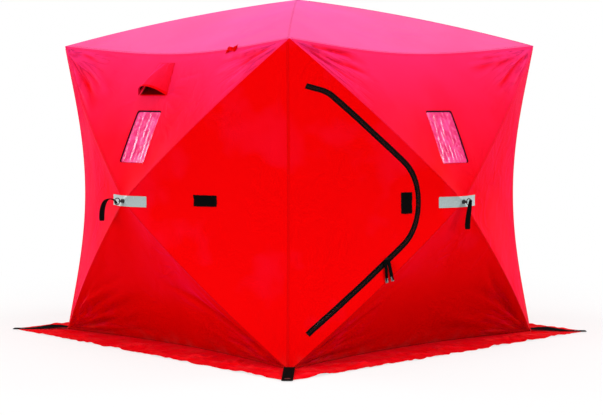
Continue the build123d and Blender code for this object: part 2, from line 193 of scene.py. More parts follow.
# Evenly spaced points on each side of a closed outline.
def resample(points, spacing):
    points = np.asarray(points, float)
    out = []
    for a, b in zip(points, np.roll(points, -1, axis=0)):
        count = max(1, int(round(np.linalg.norm(b - a) / spacing)))
        out += [a + (b - a) * i / count for i in range(count)]
    return np.array(out)


# A resampled outline that ends where it starts, for stitches.
def closedRing(points, spacing):
    ring = resample(points, spacing)
    return np.vstack([ring, ring[:1]])


def insideOf(ring, points):
    x, y = points[:, 0], points[:, 1]
    found = np.zeros(len(points), bool)
    for (ax, ay), (bx, by) in zip(ring, np.roll(ring, -1, axis=0)):
        if ay != by:
            found ^= ((ay > y) != (by > y)) & (x < (bx - ax) * (y - ay) / (by - ay) + ax)
    return found


def insideCut(rings, points):
    keep = insideOf(rings[0], points)
    for hole in rings[1:]:
        keep &= ~insideOf(hole, points)
    return keep


def triangleGrid(low, high, spacing):
    rise = spacing * math.sqrt(3) / 2
    rows = []
    for j in range(int((high[1] - low[1]) / rise) + 1):
        x = np.arange(low[0] + (j % 2) * spacing / 2, high[0], spacing)
        rows.append(np.column_stack([x, np.full(len(x), low[1] + j * rise)]))
    return np.vstack(rows)


# Vertices and triangles of a flat cut; fine lists circles where they stand closer.
def meshFlat(outline, holes, spacing, fine=()):
    rings = [resample(outline, spacing)] + [resample(hole, spacing * cutting["hole"]) for hole in holes]
    fixed = np.vstack(rings)
    edges, start = [], 0
    for ring in rings:
        edges += [(start + i, start + (i + 1) % len(ring)) for i in range(len(ring))]
        start += len(ring)
    low, high = fixed.min(0), fixed.max(0)
    inner = triangleGrid(low, high, spacing)
    for x, y, radius in fine:
        inner = inner[np.hypot(inner[:, 0] - x, inner[:, 1] - y) > radius]
    gap = np.full(len(inner), cutting["rimGap"] * spacing)
    for x, y, radius in fine:
        close = triangleGrid(low, high, spacing * cutting["fine"])
        close = close[np.hypot(close[:, 0] - x, close[:, 1] - y) < radius]
        inner = np.vstack([inner, close])
        gap = np.append(gap, np.full(len(close), cutting["rimGap"] * spacing * cutting["fine"]))
    keep = insideCut(rings, inner)
    inner, gap = inner[keep], gap[keep]
    near = np.full(len(inner), np.inf)
    for part in np.array_split(fixed, max(1, len(fixed) // 64)):
        near = np.minimum(near, np.sqrt(((inner[:, None] - part[None]) ** 2).sum(2)).min(1))
    points = np.vstack([fixed, inner[near > gap]])
    found = delaunay_2d_cdt([Vector(p) for p in points], edges, [], 0, 1e-7)
    flat = np.array([tuple(v) for v in found[0]])
    tris = np.array([f for f in found[2] if len(f) == 3])
    tris = tris[insideCut(rings, flat[tris].mean(1))]
    a, b, c = (flat[tris[:, k]] for k in range(3))
    turn = (b[:, 0] - a[:, 0]) * (c[:, 1] - a[:, 1]) - (b[:, 1] - a[:, 1]) * (c[:, 0] - a[:, 0])
    longest = np.max([((q - p) ** 2).sum(1) for p, q in ((a, b), (b, c), (c, a))], axis=0)
    full = np.abs(turn) > cutting["sliver"] * longest
    tris, turn = tris[full], turn[full]
    tris[turn < 0] = tris[turn < 0][:, ::-1]
    used = np.unique(tris)
    lookup = np.zeros(len(flat), int)
    lookup[used] = np.arange(len(used))
    return flat[used], lookup[tris]


def newObject(name, data):
    made = bpy.data.objects.new(name, data)
    bpy.context.scene.collection.objects.link(made)
    return made


# A smooth mesh whose open edges stay crisp once the cloth has its thickness.
def makeMesh(name, points, faces, uv, paintedLightAndPaleEdge=None):
    mesh = bpy.data.meshes.new(name)
    mesh.from_pydata([tuple(p) for p in points], [], [tuple(int(i) for i in f) for f in faces])
    mesh.update()
    mesh.shade_smooth()
    loopEdges, loops = np.zeros(len(mesh.loops), int), np.zeros(len(mesh.loops), int)
    mesh.loops.foreach_get("edge_index", loopEdges)
    mesh.loops.foreach_get("vertex_index", loops)
    sharp = np.bincount(loopEdges, minlength=len(mesh.edges)) == 1
    mesh.attributes.new("sharp_edge", "BOOLEAN", "EDGE").data.foreach_set("value", sharp)
    layer = mesh.uv_layers.new(name="cut")
    layer.data.foreach_set("uv", np.asarray(uv, np.float32)[loops].ravel())
    value = np.zeros(len(mesh.vertices)) if paintedLightAndPaleEdge is None else paintedLightAndPaleEdge
    attribute = mesh.attributes.new("paintedLightAndPaleEdge", "FLOAT", "POINT")
    attribute.data.foreach_set("value", np.asarray(value, np.float32))
    return newObject(name, mesh)


def finishPiece(piece, material, thick=None, stands=(), body="shelter"):
    piece.data.materials.clear()
    piece.data.materials.append(material)
    if thick:
        solid = piece.modifiers.new("thickness", "SOLIDIFY")
        solid.thickness = thick
        solid.offset = -1
    if body:
        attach(piece, body)
    if stands:
        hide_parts(*stands)
    return piece


def gridFaces(rows, columns, flip=False):
    faces = []
    for i in range(rows - 1):
        for j in range(columns - 1):
            a = i * columns + j
            face = (a, a + 1, a + columns + 1, a + columns)
            faces.append(face[::-1] if flip else face)
    return faces


# A grid of points, rows by columns, as a mesh; its uv is a pair of grids.
def gridMesh(name, points, uv, paintedLightAndPaleEdge=None, flip=False):
    pale = None if paintedLightAndPaleEdge is None else paintedLightAndPaleEdge.ravel()
    flat = np.column_stack([part.ravel() for part in uv])
    return makeMesh(name, points.reshape(-1, 3), gridFaces(*points.shape[:2], flip=flip), flat, pale)


# Folds in the cloth

foldStyle = {
    "right": {"height": 0.0022, "length": 0.42, "count": 9, "wave": 0.0012},
    "left": {"height": 0.0022, "length": 0.42, "count": 9, "wave": 0.0012},
    "upper": {"height": 0.0105, "length": 0.44, "count": 30, "wave": 0.0022},
    "lower": {"height": 0.0100, "length": 0.70, "count": 24, "wave": 0.0022},
    "roof": {"height": 0.0022, "length": 0.36, "count": 10, "wave": 0.0016},
}
toHub = math.degrees(math.atan2(top - hub, half))
toBase = math.degrees(math.atan2(hub, half))
seamCorners = {  # each panel's corners, and the ways of the pole and the seam from there
    "right": [((half, top), 180 + toHub, 266), ((half, 0), 180 - toBase, 94)],
    "left": [((-half, top), -toHub, -86), ((-half, 0), toBase, 86)],
    "upper": [((half, top), 180 + toHub, 184), ((-half, top), -toHub, -4)],
    "lower": [((half, 0), 180 - toBase, 180), ((-half, 0), toBase, 0)],
    "roof": [((half, 0), 225, 182), ((-half, 0), -45, -2)],
}


foldRanges = {  # what each fold draws from
    "begin": (0.02, 0.16),  # distance from the corner
    "length": (0.3, 1.0),
    "narrow": (0.006, 0.009),
    "wide": (0.012, 0.024),
    "height": (0.3, 1.0),
    "curve": (-0.35, 0.35),
}


# A fold starts at x, y, runs that way, and is narrow at its start and wide at its end.
def makeFold(x, y, degrees, length, narrow, wide, height, curve):
    return {"x": x, "y": y, "way": math.radians(degrees), "length": length, "narrow": narrow, "wide": wide,
            "height": height, "curve": curve}


def makeFolds(side, seed):
    pick = random.Random(seed)
    style = foldStyle[side]
    folds = []
    for (x, y), poleWay, seamWay in seamCorners[side]:
        for i in range(style["count"]):
            share = pick.random() ** 1.3
            if pick.random() < 0.35:
                share = 1 - share * 0.6
            degrees = poleWay + (seamWay - poleWay) * (0.03 + 0.94 * share)
            begin = pick.uniform(*foldRanges["begin"])
            length = style["length"] * pick.uniform(*foldRanges["length"]) ** 1.2
            narrow = pick.uniform(*foldRanges["narrow"])
            wide = pick.uniform(*foldRanges["wide"]) * (0.6 + length)
            height = style["height"] * pick.uniform(*foldRanges["height"]) * pick.choice((1, 1, -1))
            curve = pick.uniform(*foldRanges["curve"])
            fold = makeFold(x, y, degrees, length, narrow, wide, height, curve)
            fold["x"] += begin * math.cos(fold["way"])
            fold["y"] += begin * math.sin(fold["way"])
            folds.append(fold)
    return folds


def foldField(x, y, folds):
    total = np.zeros(np.shape(x))
    for fold in folds:
        dx, dy = x - fold["x"], y - fold["y"]
        c, s = math.cos(fold["way"]), math.sin(fold["way"])
        along = dx * c + dy * s
        q = np.clip(along / fold["length"], 0, 1)
        across = dy * c - dx * s + fold["curve"] * np.clip(along, 0, None) ** 2
        width = fold["narrow"] + (fold["wide"] - fold["narrow"]) * q
        ridge = bell(across, 0, width) - 0.55 * bell(across, 1.5 * width, width)
        total += fold["height"] * np.sin(math.pi * q ** 0.75) * ridge
    return total


# Uneven waves of about that size, from -1 to 1.
def ripple(x, y, size, seed, count=22):
    pick = np.random.RandomState(seed)
    total = np.zeros(np.shape(x))
    for i in range(count):
        way = pick.uniform(0, math.pi)
        wave = 2 * math.pi / (size * pick.uniform(0.6, 1.8))
        total += np.sin((x * math.cos(way) + y * math.sin(way)) * wave + pick.uniform(0, 6.28))
    return total / math.sqrt(count)


# Shader nodes, and the groups shared by cloth and webbing


def startGroup(kind, name, inputs, outputs):
    tree = bpy.data.node_groups.new(name, kind)
    for way, sockets in (("INPUT", inputs), ("OUTPUT", outputs)):
        for label, socketKind in sockets.items():
            tree.interface.new_socket(name=label, in_out=way, socket_type="NodeSocket" + socketKind)
    given, out = tree.nodes.new("NodeGroupInput"), tree.nodes.new("NodeGroupOutput")
    return tree, given.outputs, out.inputs


def feed(tree, socket, value):
    if isinstance(value, bpy.types.NodeSocket):
        tree.links.new(value, socket)
    else:
        socket.default_value = value


# A node with its settings, and its inputs linked or set; x_0 means input 0.
def put(tree, kind, settings=None, **inputs):
    node = tree.nodes.new(kind)
    for key, value in (settings or {}).items():
        setattr(node, key, value)
    for key, value in inputs.items():
        feed(tree, node.inputs[int(key[2:]) if key.startswith("x_") else key.replace("_", " ")], value)
    return node


def calc(tree, operation, a, b=0.0, clamp=False):
    return put(tree, "ShaderNodeMath", {"operation": operation, "use_clamp": clamp}, x_0=a, x_1=b).outputs[0]


def times(tree, a, b):
    return calc(tree, "MULTIPLY", a, b)


def ramp(tree, value, low, high, outLow=0.0, outHigh=1.0):
    limits = {"From_Min": low, "From_Max": high, "To_Min": outLow, "To_Max": outHigh}
    kind = {"interpolation_type": "SMOOTHSTEP"}
    return put(tree, "ShaderNodeMapRange", kind, Value=value, **limits).outputs["Result"]


def mix(tree, share, a, b):
    return put(tree, "ShaderNodeMix", {"data_type": "RGBA"}, x_0=share, x_6=a, x_7=b).outputs[2]


def noise(tree, vector, scale, detail, **more):
    node = put(tree, "ShaderNodeTexNoise", None, Vector=vector, Scale=scale, Detail=detail, **more)
    return node.outputs["Fac"]


def cutOf(tree):
    return tree.nodes.new("ShaderNodeUVMap").outputs["UV"]


def placeOf(tree):
    return tree.nodes.new("ShaderNodeTexCoord").outputs["Object"]


# The cloth's painted light and shade, and the reflective tape's pale edge, as a point attribute.
def paintedLightAndPaleEdgeNode(tree):
    return put(tree, "ShaderNodeAttribute", {"attribute_name": "paintedLightAndPaleEdge"}).outputs["Fac"]


# 1 on the middle line of a noise, fading to 0 at that distance from it.
def middleLine(tree, value, width):
    return ramp(tree, calc(tree, "ABSOLUTE", calc(tree, "SUBTRACT", value, 0.5)), 0.0, width, 1.0, 0.0)


def makeWeave():
    tree, given, out = startGroup("ShaderNodeTree", "plainWeave", {"Cut": "Vector", "Pitch": "Float"},
                                  {"Height": "Float", "Shade": "Float"})
    split = put(tree, "ShaderNodeSeparateXYZ", None, Vector=given["Cut"])
    waves = []
    for axis in (0, 1):
        turns = calc(tree, "DIVIDE", split.outputs[axis], given["Pitch"])
        waves.append(calc(tree, "SINE", times(tree, turns, math.pi)))
    height = calc(tree, "ADD", times(tree, times(tree, *waves), 0.5), 0.5)
    feed(tree, out["Height"], height)
    feed(tree, out["Shade"], times(tree, noise(tree, given["Cut"], 900.0, 2.0), height))
    return tree


def makeCrease():
    tree, given, out = startGroup("ShaderNodeTree", "handlingCreases", {"Cut": "Vector", "Scale": "Float"},
                                  {"Height": "Float", "Mask": "Float"})
    soft = noise(tree, given["Cut"], given["Scale"], 4.0, Roughness=0.45, Distortion=1.1)
    mask = ramp(tree, noise(tree, given["Cut"], 2.3, 1.0), 0.42, 0.66)
    feed(tree, out["Height"], times(tree, middleLine(tree, soft, 0.12), mask))
    feed(tree, out["Mask"], mask)
    return tree


def makeSoiling():
    tree, given, out = startGroup("ShaderNodeTree", "groundSoiling", {"Place": "Vector", "Reach": "Float"},
                                  {"Mask": "Float"})
    split = put(tree, "ShaderNodeSeparateXYZ", None, Vector=given["Place"])
    low = ramp(tree, split.outputs["Z"], 0.0, given["Reach"], 1.0, 0.0)
    blot = ramp(tree, noise(tree, given["Place"], 14.0, 5.0), 0.4, 0.7)
    feed(tree, out["Mask"], times(tree, low, blot))
    return tree


# Short pleats that fan out from a seam corner of the flat cut; the cloth uses them for a bump and for
# painted shade.
def makePleats():
    tree, given, out = startGroup("ShaderNodeTree", "cornerPleats",
                                  {"Cut": "Vector", "Corner": "Vector", "Reach": "Float"}, {"Mask": "Float"})
    kind = {"operation": "SUBTRACT"}
    gap = put(tree, "ShaderNodeVectorMath", kind, x_0=given["Cut"], x_1=given["Corner"]).outputs[0]
    away = put(tree, "ShaderNodeVectorMath", {"operation": "LENGTH"}, x_0=gap).outputs["Value"]
    split = put(tree, "ShaderNodeSeparateXYZ", None, Vector=gap)
    angle = times(tree, calc(tree, "ARCTAN2", split.outputs["Y"], split.outputs["X"]), 11.0)
    fan = put(tree, "ShaderNodeCombineXYZ", None, X=angle, Y=times(tree, away, 3.5)).outputs[0]
    ridge = middleLine(tree, noise(tree, fan, 1.0, 2.0, Distortion=0.3), 0.09)
    broken = ramp(tree, noise(tree, given["Cut"], 11.0, 2.0), 0.37, 0.53)
    fade = times(tree, ramp(tree, away, 0.08, given["Reach"], 1.0, 0.0), ramp(tree, away, 0.0, 0.03))
    feed(tree, out["Mask"], times(tree, times(tree, ridge, broken), fade))
    return tree


groups = {"weave": makeWeave(), "crease": makeCrease(), "soiling": makeSoiling(), "pleats": makePleats()}


def useGroup(tree, name, **inputs):
    return put(tree, "ShaderNodeGroup", {"node_tree": groups[name]}, **inputs).outputs


def startMaterial(name, **constants):
    material = bpy.data.materials.new(name)
    material.use_nodes = True
    shader = material.node_tree.nodes["Principled BSDF"]
    for key, value in constants.items():
        shader.inputs[key.replace("_", " ")].default_value = value
    return material, material.node_tree, shader.inputs


def bump(tree, shader, height, distance):
    node = put(tree, "ShaderNodeBump", None, Height=height, Distance=distance)
    feed(tree, shader["Normal"], node.outputs["Normal"])


def paler(colour, gain, lift):
    return tuple(min(1.0, c * gain + lift) for c in colour[:3]) + (1.0,)


clothFinish = {
    "roughness": 0.52,
    "specular": 0.006,
    "sheen": 0.45,
    "sheenTint": (1.0, 0.04, 0.55, 1.0),
    # shade is the colour of painted shade
    "shade": (0.10, 0.0, 0.0003, 1.0),
    "threads": (0.42, 0.0, 0.001, 1.0),
    "threadShade": 0.10,
    "soil": (0.30, 0.10, 0.10, 1.0),
    "soilReach": 0.10,
    "pitch": 0.0009,
    "weaveHeight": 0.00006,
    "creaseScale": 7.0,
    "creaseHeight": 0.0015,
}


# Coated oxford cloth: deep colour, with painted light towards the pale colour where its painted-light
# attribute is above 0, and painted shade where it is below 0.
def coatedCloth(name, deep, pale, settings):
    material, tree, shader = startMaterial(
        name, Roughness=settings["roughness"], Specular_IOR_Level=settings["specular"], Sheen_Roughness=0.3,
        Sheen_Tint=settings["sheenTint"])
    cut, place, paintedLightAndPaleEdge = cutOf(tree), placeOf(tree), paintedLightAndPaleEdgeNode(tree)
    weave = useGroup(tree, "weave", Cut=cut, Pitch=settings["pitch"])
    crease = useGroup(tree, "crease", Cut=place, Scale=settings["creaseScale"])
    soil = times(tree, useGroup(tree, "soiling", Place=place, Reach=settings["soilReach"])["Mask"], 0.10)
    uneven = ramp(tree, noise(tree, place, 3.2, 3.0), 0.3, 0.7, -0.05, 0.05)
    # Painted light: towards the pale colour where the attribute is above 0; painted shade: towards the shade
    # colour where it is below 0; sheen fades in the painted shade and the soil.
    shade = calc(tree, "MULTIPLY", paintedLightAndPaleEdge, -1.0, clamp=True)
    colour = mix(tree, calc(tree, "ADD", paintedLightAndPaleEdge, uneven, clamp=True), deep, pale)
    colour = mix(tree, shade, colour, settings["shade"])
    colour = mix(tree, times(tree, weave["Shade"], settings["threadShade"]), colour, settings["threads"])
    high = times(tree, crease["Height"], settings["creaseHeight"])
    high = calc(tree, "ADD", high, times(tree, weave["Height"], settings["weaveHeight"]))
    if "pleats" in settings:
        pleats = settings["pleats"]
        mask = 0.0
        for x, y in pleats["corners"]:
            fan = useGroup(tree, "pleats", Cut=cut, Corner=(x, y, 0.0), Reach=pleats["reach"])
            mask = calc(tree, "ADD", fan["Mask"], mask)
        mask = times(tree, mask, ramp(tree, calc(tree, "ABSOLUTE", paintedLightAndPaleEdge), 0.09, 0.22))
        # Painted shade along each pleat, only where the cloth has painted light or shade.
        colour = mix(tree, times(tree, mask, pleats["share"]), colour, pleats["colour"])
        high = calc(tree, "SUBTRACT", high, times(tree, mask, pleats["depth"]))
    feed(tree, shader["Base Color"], mix(tree, soil, colour, settings["soil"]))
    paintedShadeAndSoil = calc(tree, "ADD", shade, soil)
    feed(tree, shader["Sheen Weight"], ramp(tree, paintedShadeAndSoil, 0.0, 0.2, settings["sheen"], 0.0))
    rough = settings["roughness"]
    feed(tree, shader["Roughness"], ramp(tree, crease["Mask"], 0.0, 1.0, rough, rough + 0.08))
    bump(tree, shader, high, 1.0)
    return material


wallFinish = {
    **clothFinish,
    "pleats": {
        "corners": [(way * half, height) for way in (1, -1) for height in (top, 0.0)],
        "reach": 0.66,
        "depth": 0.0040,
        "share": 0.42,
        # colour and share: painted shade along the pleats
        "colour": (0.60, 0.0, 0.030, 1.0),
    },
}
skirtFinish = {**clothFinish, "specular": 0.002, "sheen": 0.02, "creaseScale": 12.0, "creaseHeight": 0.0016}
# Each pale colour is painted light.
wallCloth = coatedCloth("wallCloth", (0.86, 0.0002, 0.0006, 1.0), (1.0, 0.030, 0.185, 1.0), wallFinish)
# The roof's copy of the red cloth, pinker as painted light from above.
paintedLitRoofCloth = coatedCloth("paintedLitRoofCloth", (0.95, 0.05, 0.18, 1.0), (1.0, 0.20, 0.50, 1.0), clothFinish)
skirtCloth = coatedCloth("skirtCloth", (0.80, 0.0002, 0.0006, 1.0), (1.0, 0.010, 0.020, 1.0), skirtFinish)


# Moulded plastic, thread or drawn metal with a fine grain and slightly uneven gloss.
def plainSurface(name, colour, roughness, grain=260.0, **constants):
    material, tree, shader = startMaterial(name, **constants)
    place = placeOf(tree)
    rub = ramp(tree, noise(tree, place, 21.0, 4.0), 0.35, 0.7)
    feed(tree, shader["Base Color"], mix(tree, rub, (*colour, 1.0), paler(colour, 1.25, 0.002)))
    feed(tree, shader["Roughness"], ramp(tree, rub, 0.0, 1.0, roughness, min(1.0, roughness + 0.12)))
    bump(tree, shader, noise(tree, place, grain, 3.0), 0.0001)
    return material


# Woven tape: ribs along its length and picks across, from the piece's own cut.
def webbing(name, colour, pitch, rib):
    material, tree, shader = startMaterial(name, Specular_IOR_Level=0.006)
    cut = cutOf(tree)
    weave = useGroup(tree, "weave", Cut=cut, Pitch=pitch)
    feed(tree, shader["Base Color"], mix(tree, weave["Shade"], (*colour, 1.0), paler(colour, 1.9, 0.0015)))
    feed(tree, shader["Roughness"], ramp(tree, noise(tree, cut, 500.0, 2.0), 0.3, 0.7, 0.67, 0.83))
    bump(tree, shader, weave["Height"], rib)
    return material


blackWebbing = webbing("blackWebbing", (0.0025, 0.0025, 0.0025), 0.0016, 0.0003)
zipTape = webbing("zipTape", (0.0025, 0.0025, 0.0025), 0.0011, 0.0002)
bindingTape = webbing("bindingTape", (0.004, 0.003, 0.004), 0.0008, 0.0001)
# A near-black sheet inside the vent's hood: painted shade in its mouth.
hoodShadeSheet = plainSurface("hoodShadeSheet", (0.014, 0.0004, 0.001), 0.85, 600.0, Specular_IOR_Level=0.02)
redThread = plainSurface("redThread", (0.50, 0.001, 0.003), 0.6, 900.0, Specular_IOR_Level=0.1)
blackThread = plainSurface("blackThread", (0.007, 0.007, 0.007), 0.7, 900.0, Specular_IOR_Level=0.1)
zipPlastic = plainSurface("zipPlastic", (0.004, 0.004, 0.004), 0.60, 700.0, Specular_IOR_Level=0.10)
hubPlastic = plainSurface("hubPlastic", (0.010, 0.010, 0.011), 0.42, Specular_IOR_Level=0.3)
bootPlastic = plainSurface("bootPlastic", (0.020, 0.020, 0.022), 0.5, 180.0)
ringMetal = plainSurface("ringMetal", (0.008, 0.008, 0.009), 0.38, Specular_IOR_Level=0.3)
eyeletMetal = plainSurface("eyeletMetal", (0.030, 0.030, 0.032), 0.42, Metallic=0.6)
greyTip = plainSurface("greyTip", (0.30, 0.33, 0.34), 0.35, 500.0)


# Pultruded fibreglass rod: streaks along the rod and a thin clear coat.
def poleFinish():
    material, tree, shader = startMaterial("fibreglass", Coat_Weight=0.35, Coat_Roughness=0.2)
    streak = noise(tree, placeOf(tree), 55.0, 6.0, Distortion=0.4)
    fac = ramp(tree, streak, 0.3, 0.7)
    feed(tree, shader["Base Color"], mix(tree, fac, (0.028, 0.027, 0.026, 1.0), (0.075, 0.070, 0.062, 1.0)))
    feed(tree, shader["Roughness"], ramp(tree, fac, 0.0, 1.0, 0.32, 0.46))
    bump(tree, shader, streak, 0.0002)
    return material


# Prismatic tape: small cells under a clear film, paler along its edge.
def reflectorFinish():
    material, tree, shader = startMaterial("reflectiveTape", Coat_Weight=0.08, Coat_Roughness=0.2,
                                           Specular_IOR_Level=0.15)
    kind = {"feature": "DISTANCE_TO_EDGE"}
    cells = put(tree, "ShaderNodeTexVoronoi", kind, Vector=cutOf(tree), Scale=230.0).outputs["Distance"]
    line = ramp(tree, cells, 0.0, 0.09)
    base = mix(tree, line, (0.46, 0.56, 0.55, 1.0), (0.33, 0.405, 0.405, 1.0))
    feed(tree, shader["Base Color"], mix(tree, paintedLightAndPaleEdgeNode(tree), base, (0.36, 0.48, 0.45, 1.0)))
    feed(tree, shader["Roughness"], ramp(tree, line, 0.0, 1.0, 0.5, 0.34))
    bump(tree, shader, cells, 0.0002)
    return material


# Hook-and-loop tape: a dense pile of tiny loops.
def hookTapeFinish():
    material, tree, shader = startMaterial("hookTape", Specular_IOR_Level=0.015, Sheen_Weight=0.002,
                                           Sheen_Roughness=0.6)
    loops = put(tree, "ShaderNodeTexVoronoi", None, Vector=cutOf(tree), Scale=650.0).outputs["Distance"]
    colour = mix(tree, loops, (0.001, 0.001, 0.001, 1.0), (0.0045, 0.0045, 0.0045, 1.0))
    feed(tree, shader["Base Color"], colour)
    feed(tree, shader["Roughness"], ramp(tree, loops, 0.0, 1.0, 0.8, 0.95))
    bump(tree, shader, loops, 0.0006)
    return material


# Clear vinyl over a dim red room: glossy, faintly clouded where it has been folded; its pink colour is
# painted light from the room behind and a painted reflection, with painted glints.
def filmFinish():
    material, tree, shader = startMaterial("windowFilm", Coat_Weight=0.10, Coat_Roughness=0.05,
                                           Specular_IOR_Level=0.12)
    cut = cutOf(tree)
    cloud = ramp(tree, noise(tree, cut, 17.0, 5.0, Distortion=1.6), 0.32, 0.68)
    fine = noise(tree, cut, 60.0, 3.0, Distortion=2.0)
    tint = mix(tree, cloud, (0.86, 0.024, 0.165, 1.0), (1.0, 0.060, 0.28, 1.0))
    # Painted glints, paler specks on the film.
    glint = ramp(tree, fine, 0.67, 0.80, 0.0, 0.40)
    feed(tree, shader["Base Color"], mix(tree, glint, tint, (1.0, 0.72, 0.86, 1.0)))
    feed(tree, shader["Roughness"], ramp(tree, cloud, 0.0, 1.0, 0.16, 0.3))
    feed(tree, shader["Alpha"], ramp(tree, cloud, 0.0, 1.0, 0.86, 0.96))
    bump(tree, shader, fine, 0.0007)
    return material


fibreglass = poleFinish()
reflectiveTape = reflectorFinish()
hookTape = hookTapeFinish()
windowFilm = filmFinish()
print("materials made")

# Outlines of the cuts, in a wall's s, z plane

window = {
    "width": 0.178,
    "height": 0.242,
    "corner": 0.012,
    "sill": 0.893,
    "recess": 0.004,  # of the film, behind the cloth's outer face
    "overlap": 0.008,  # of the film, past the opening's edge
    "wave": 0.0011,
    "filmThick": 0.0005,
    "grid": 0.0048,
    "binding": 0.0068,
    "bindingThin": 0.0012,
    "bindingRecess": 0.0018,
    "bindingThick": 0.0008,
    "stitchMargin": 0.005,
    "shift": {"front": 0.016, "left": -0.016, "back": 0.0, "right": 0.0},
    "wideSide": {"front": 1, "left": -1, "back": 1, "right": -1},  # of the binding
}
windowMiddle = window["sill"] + window["height"] / 2
vent = {"middle": -0.038, "height": 1.285, "radius": 0.036}
hood = {
    "middle": vent["middle"],
    "topHeight": 1.358,
    "mouthHeight": 1.205,
    "topWidth": 0.112,
    "mouthWidth": 0.212,
    "lift": 0.080,
    "topLift": 0.009,
    "rise": 0.045,
    "standOff": 0.0014,
    "crease": 0.006,
    "sag": 0.010,
    "pucker": 0.010,
    "wave": 0.0016,
    "shadeSheetGap": 0.0028,
    "hem": (0.925, 0.935, 0.992, 1.0),
    "hemThick": 0.0007,
    "rows": 40,
    "columns": 46,
}
door = {
    "jamb": 0.062,
    "zipGap": 0.006,
    "zipMargin": 0.056,
    "turn": 0.0878,
    "slope": 0.3,
    "topRadius": 0.150,
    "tipRadius": 0.255,
    "tape": 0.009,
    "tapeRise": 0.0012,
    "tapeThick": 0.0008,
    "bendFrom": -0.772,
    "bendTo": -0.712,
}
poleUp = math.atan2(hub - top, half)
poleDown = math.atan2(-hub, -half)
upright = math.pi / 2


def circle(x, y, radius, count):
    a = np.linspace(0, 2 * math.pi, count, endpoint=False)
    return np.column_stack([x + radius * np.cos(a), y + radius * np.sin(a)])


def roundedBox(x, y, width, height, radius, count=6):
    points = []
    for cx, cy, start in ((1, 1, 0), (-1, 1, 90), (-1, -1, 180), (1, -1, 270)):
        for i in range(count + 1):
            a = math.radians(start + 90 * i / count)
            points.append((x + cx * (width / 2 - radius) + radius * math.cos(a),
                           y + cy * (height / 2 - radius) + radius * math.sin(a)))
    return np.array(points)


def windowOutline(wall, grow=0.0):
    width, height = window["width"] + 2 * grow, window["height"] + 2 * grow
    return roundedBox(window["shift"][wall], windowMiddle, width, height, window["corner"] + grow)


def meet(p, angleP, q, angleQ):
    across = math.cos(angleP) * math.sin(angleQ) - math.sin(angleP) * math.cos(angleQ)
    along = ((q[0] - p[0]) * math.sin(angleQ) - (q[1] - p[1]) * math.cos(angleQ)) / across
    return p[0] + along * math.cos(angleP), p[1] + along * math.sin(angleP)


def besidePole(angle, margin):
    return margin * math.sin(angle), hub - margin * math.cos(angle)


doorTop = top
for step in range(12):
    foldEnd = seamAt("left", doorTop / top)[0] + door["jamb"]
    turnLine = (foldEnd + door["turn"], 0)
    turnHeight = meet(besidePole(poleUp, door["zipMargin"]), poleUp, turnLine, upright)[1]
    doorTop = turnHeight + door["slope"] * door["turn"]
doorBottom = meet(besidePole(poleDown, door["zipMargin"]), poleDown, (foldEnd, 0), upright)[1]
slopeAngle = math.atan2(-door["slope"], 1)


# A run of straight lines with rounded corners, as points.
def roundedPath(points, radii, step=0.006):
    points = [np.array(p, float) for p in points]
    out = [points[0]]
    for before, here, after, radius in zip(points[:-2], points[1:-1], points[2:], radii):
        a, b = unit(before - here), unit(after - here)
        opening = math.acos(float(np.clip(a @ b, -1, 1)))
        reach = radius / math.tan(opening / 2)
        centre = here + unit(a + b) * radius / math.sin(opening / 2)
        first, last = here + a * reach - centre, here + b * reach - centre
        begin, sweep = math.atan2(first[1], first[0]), math.pi - opening
        turn = 1 if first[0] * last[1] - first[1] * last[0] > 0 else -1
        count = max(3, int(radius * sweep / step))
        for i in range(count + 1):
            angle = begin + turn * sweep * i / count
            out.append(centre + radius * np.array([math.cos(angle), math.sin(angle)]))
    out.append(points[-1])
    return np.array(out)


# Points beside the upper and lower poles at that distance, and where the two lines meet.
def poleLines(margin):
    above, below = besidePole(poleUp, margin), besidePole(poleDown, margin)
    return above, below, meet(above, poleUp, below, poleDown)


# The zip's line from the fold's top to its bottom, moved in by inset.
def zipPath(inset):
    above, below, tip = poleLines(door["zipMargin"] + inset)
    topLine = (foldEnd + inset * math.sin(slopeAngle), doorTop - inset * math.cos(slopeAngle))
    first = meet(topLine, slopeAngle, (foldEnd, 0), upright)
    last = meet(below, poleDown, (foldEnd, 0), upright)
    turn = meet(topLine, slopeAngle, above, poleUp)
    return roundedPath([first, turn, tip, last], [door["topRadius"] - inset, door["tipRadius"] - inset])


# Walls

stillness = {  # distances over which the folds grow from nothing
    "edge": (0.009, 0.032),
    "hub": (0.10, 0.22),
    "window": (-0.002, 0.05),
    "vent": (0.03, 0.12),
    "zip": (0.012, 0.06),
}
seamReach = {"upper": 0.70, "lower": 0.70, "left": 0.80, "right": 0.80}  # from the hub to mid-seam
hoodFolds = [  # x, y, degrees, length, narrow, wide, height, curve
    (0.06, 1.22, -8, 0.16, 0.004, 0.010, 0.0022, 0.4),
    (0.08, 1.27, 12, 0.22, 0.004, 0.012, 0.0026, 0.3),
    (0.07, 1.245, 2, 0.14, 0.003, 0.009, -0.002, 0.5),
    (0.05, 1.19, -20, 0.15, 0.003, 0.009, 0.0018, 0.5),
    (0.79, top - 0.014, 183.6, 0.95, 0.006, 0.012, -0.005, 0.0),
    (-0.13, 1.19, 196, 0.14, 0.004, 0.010, 0.0016, 0.2),
]
extraFolds = {("left", "upper"): [makeFold(*row) for row in hoodFolds]}


# Least distance in the wall's plane to the panel's poles and seam.
def edgeDistance(side, s, z, u):
    distance = (1 - u) * seamReach[side]
    for sx, cz in ((1, top), (1, 0), (-1, top), (-1, 0)):
        length = math.hypot(half, cz - hub)
        nx, nz = (cz - hub) / length, -sx * half / length
        distance = np.minimum(distance, np.abs(s * nx + (z - hub) * nz))
    return distance


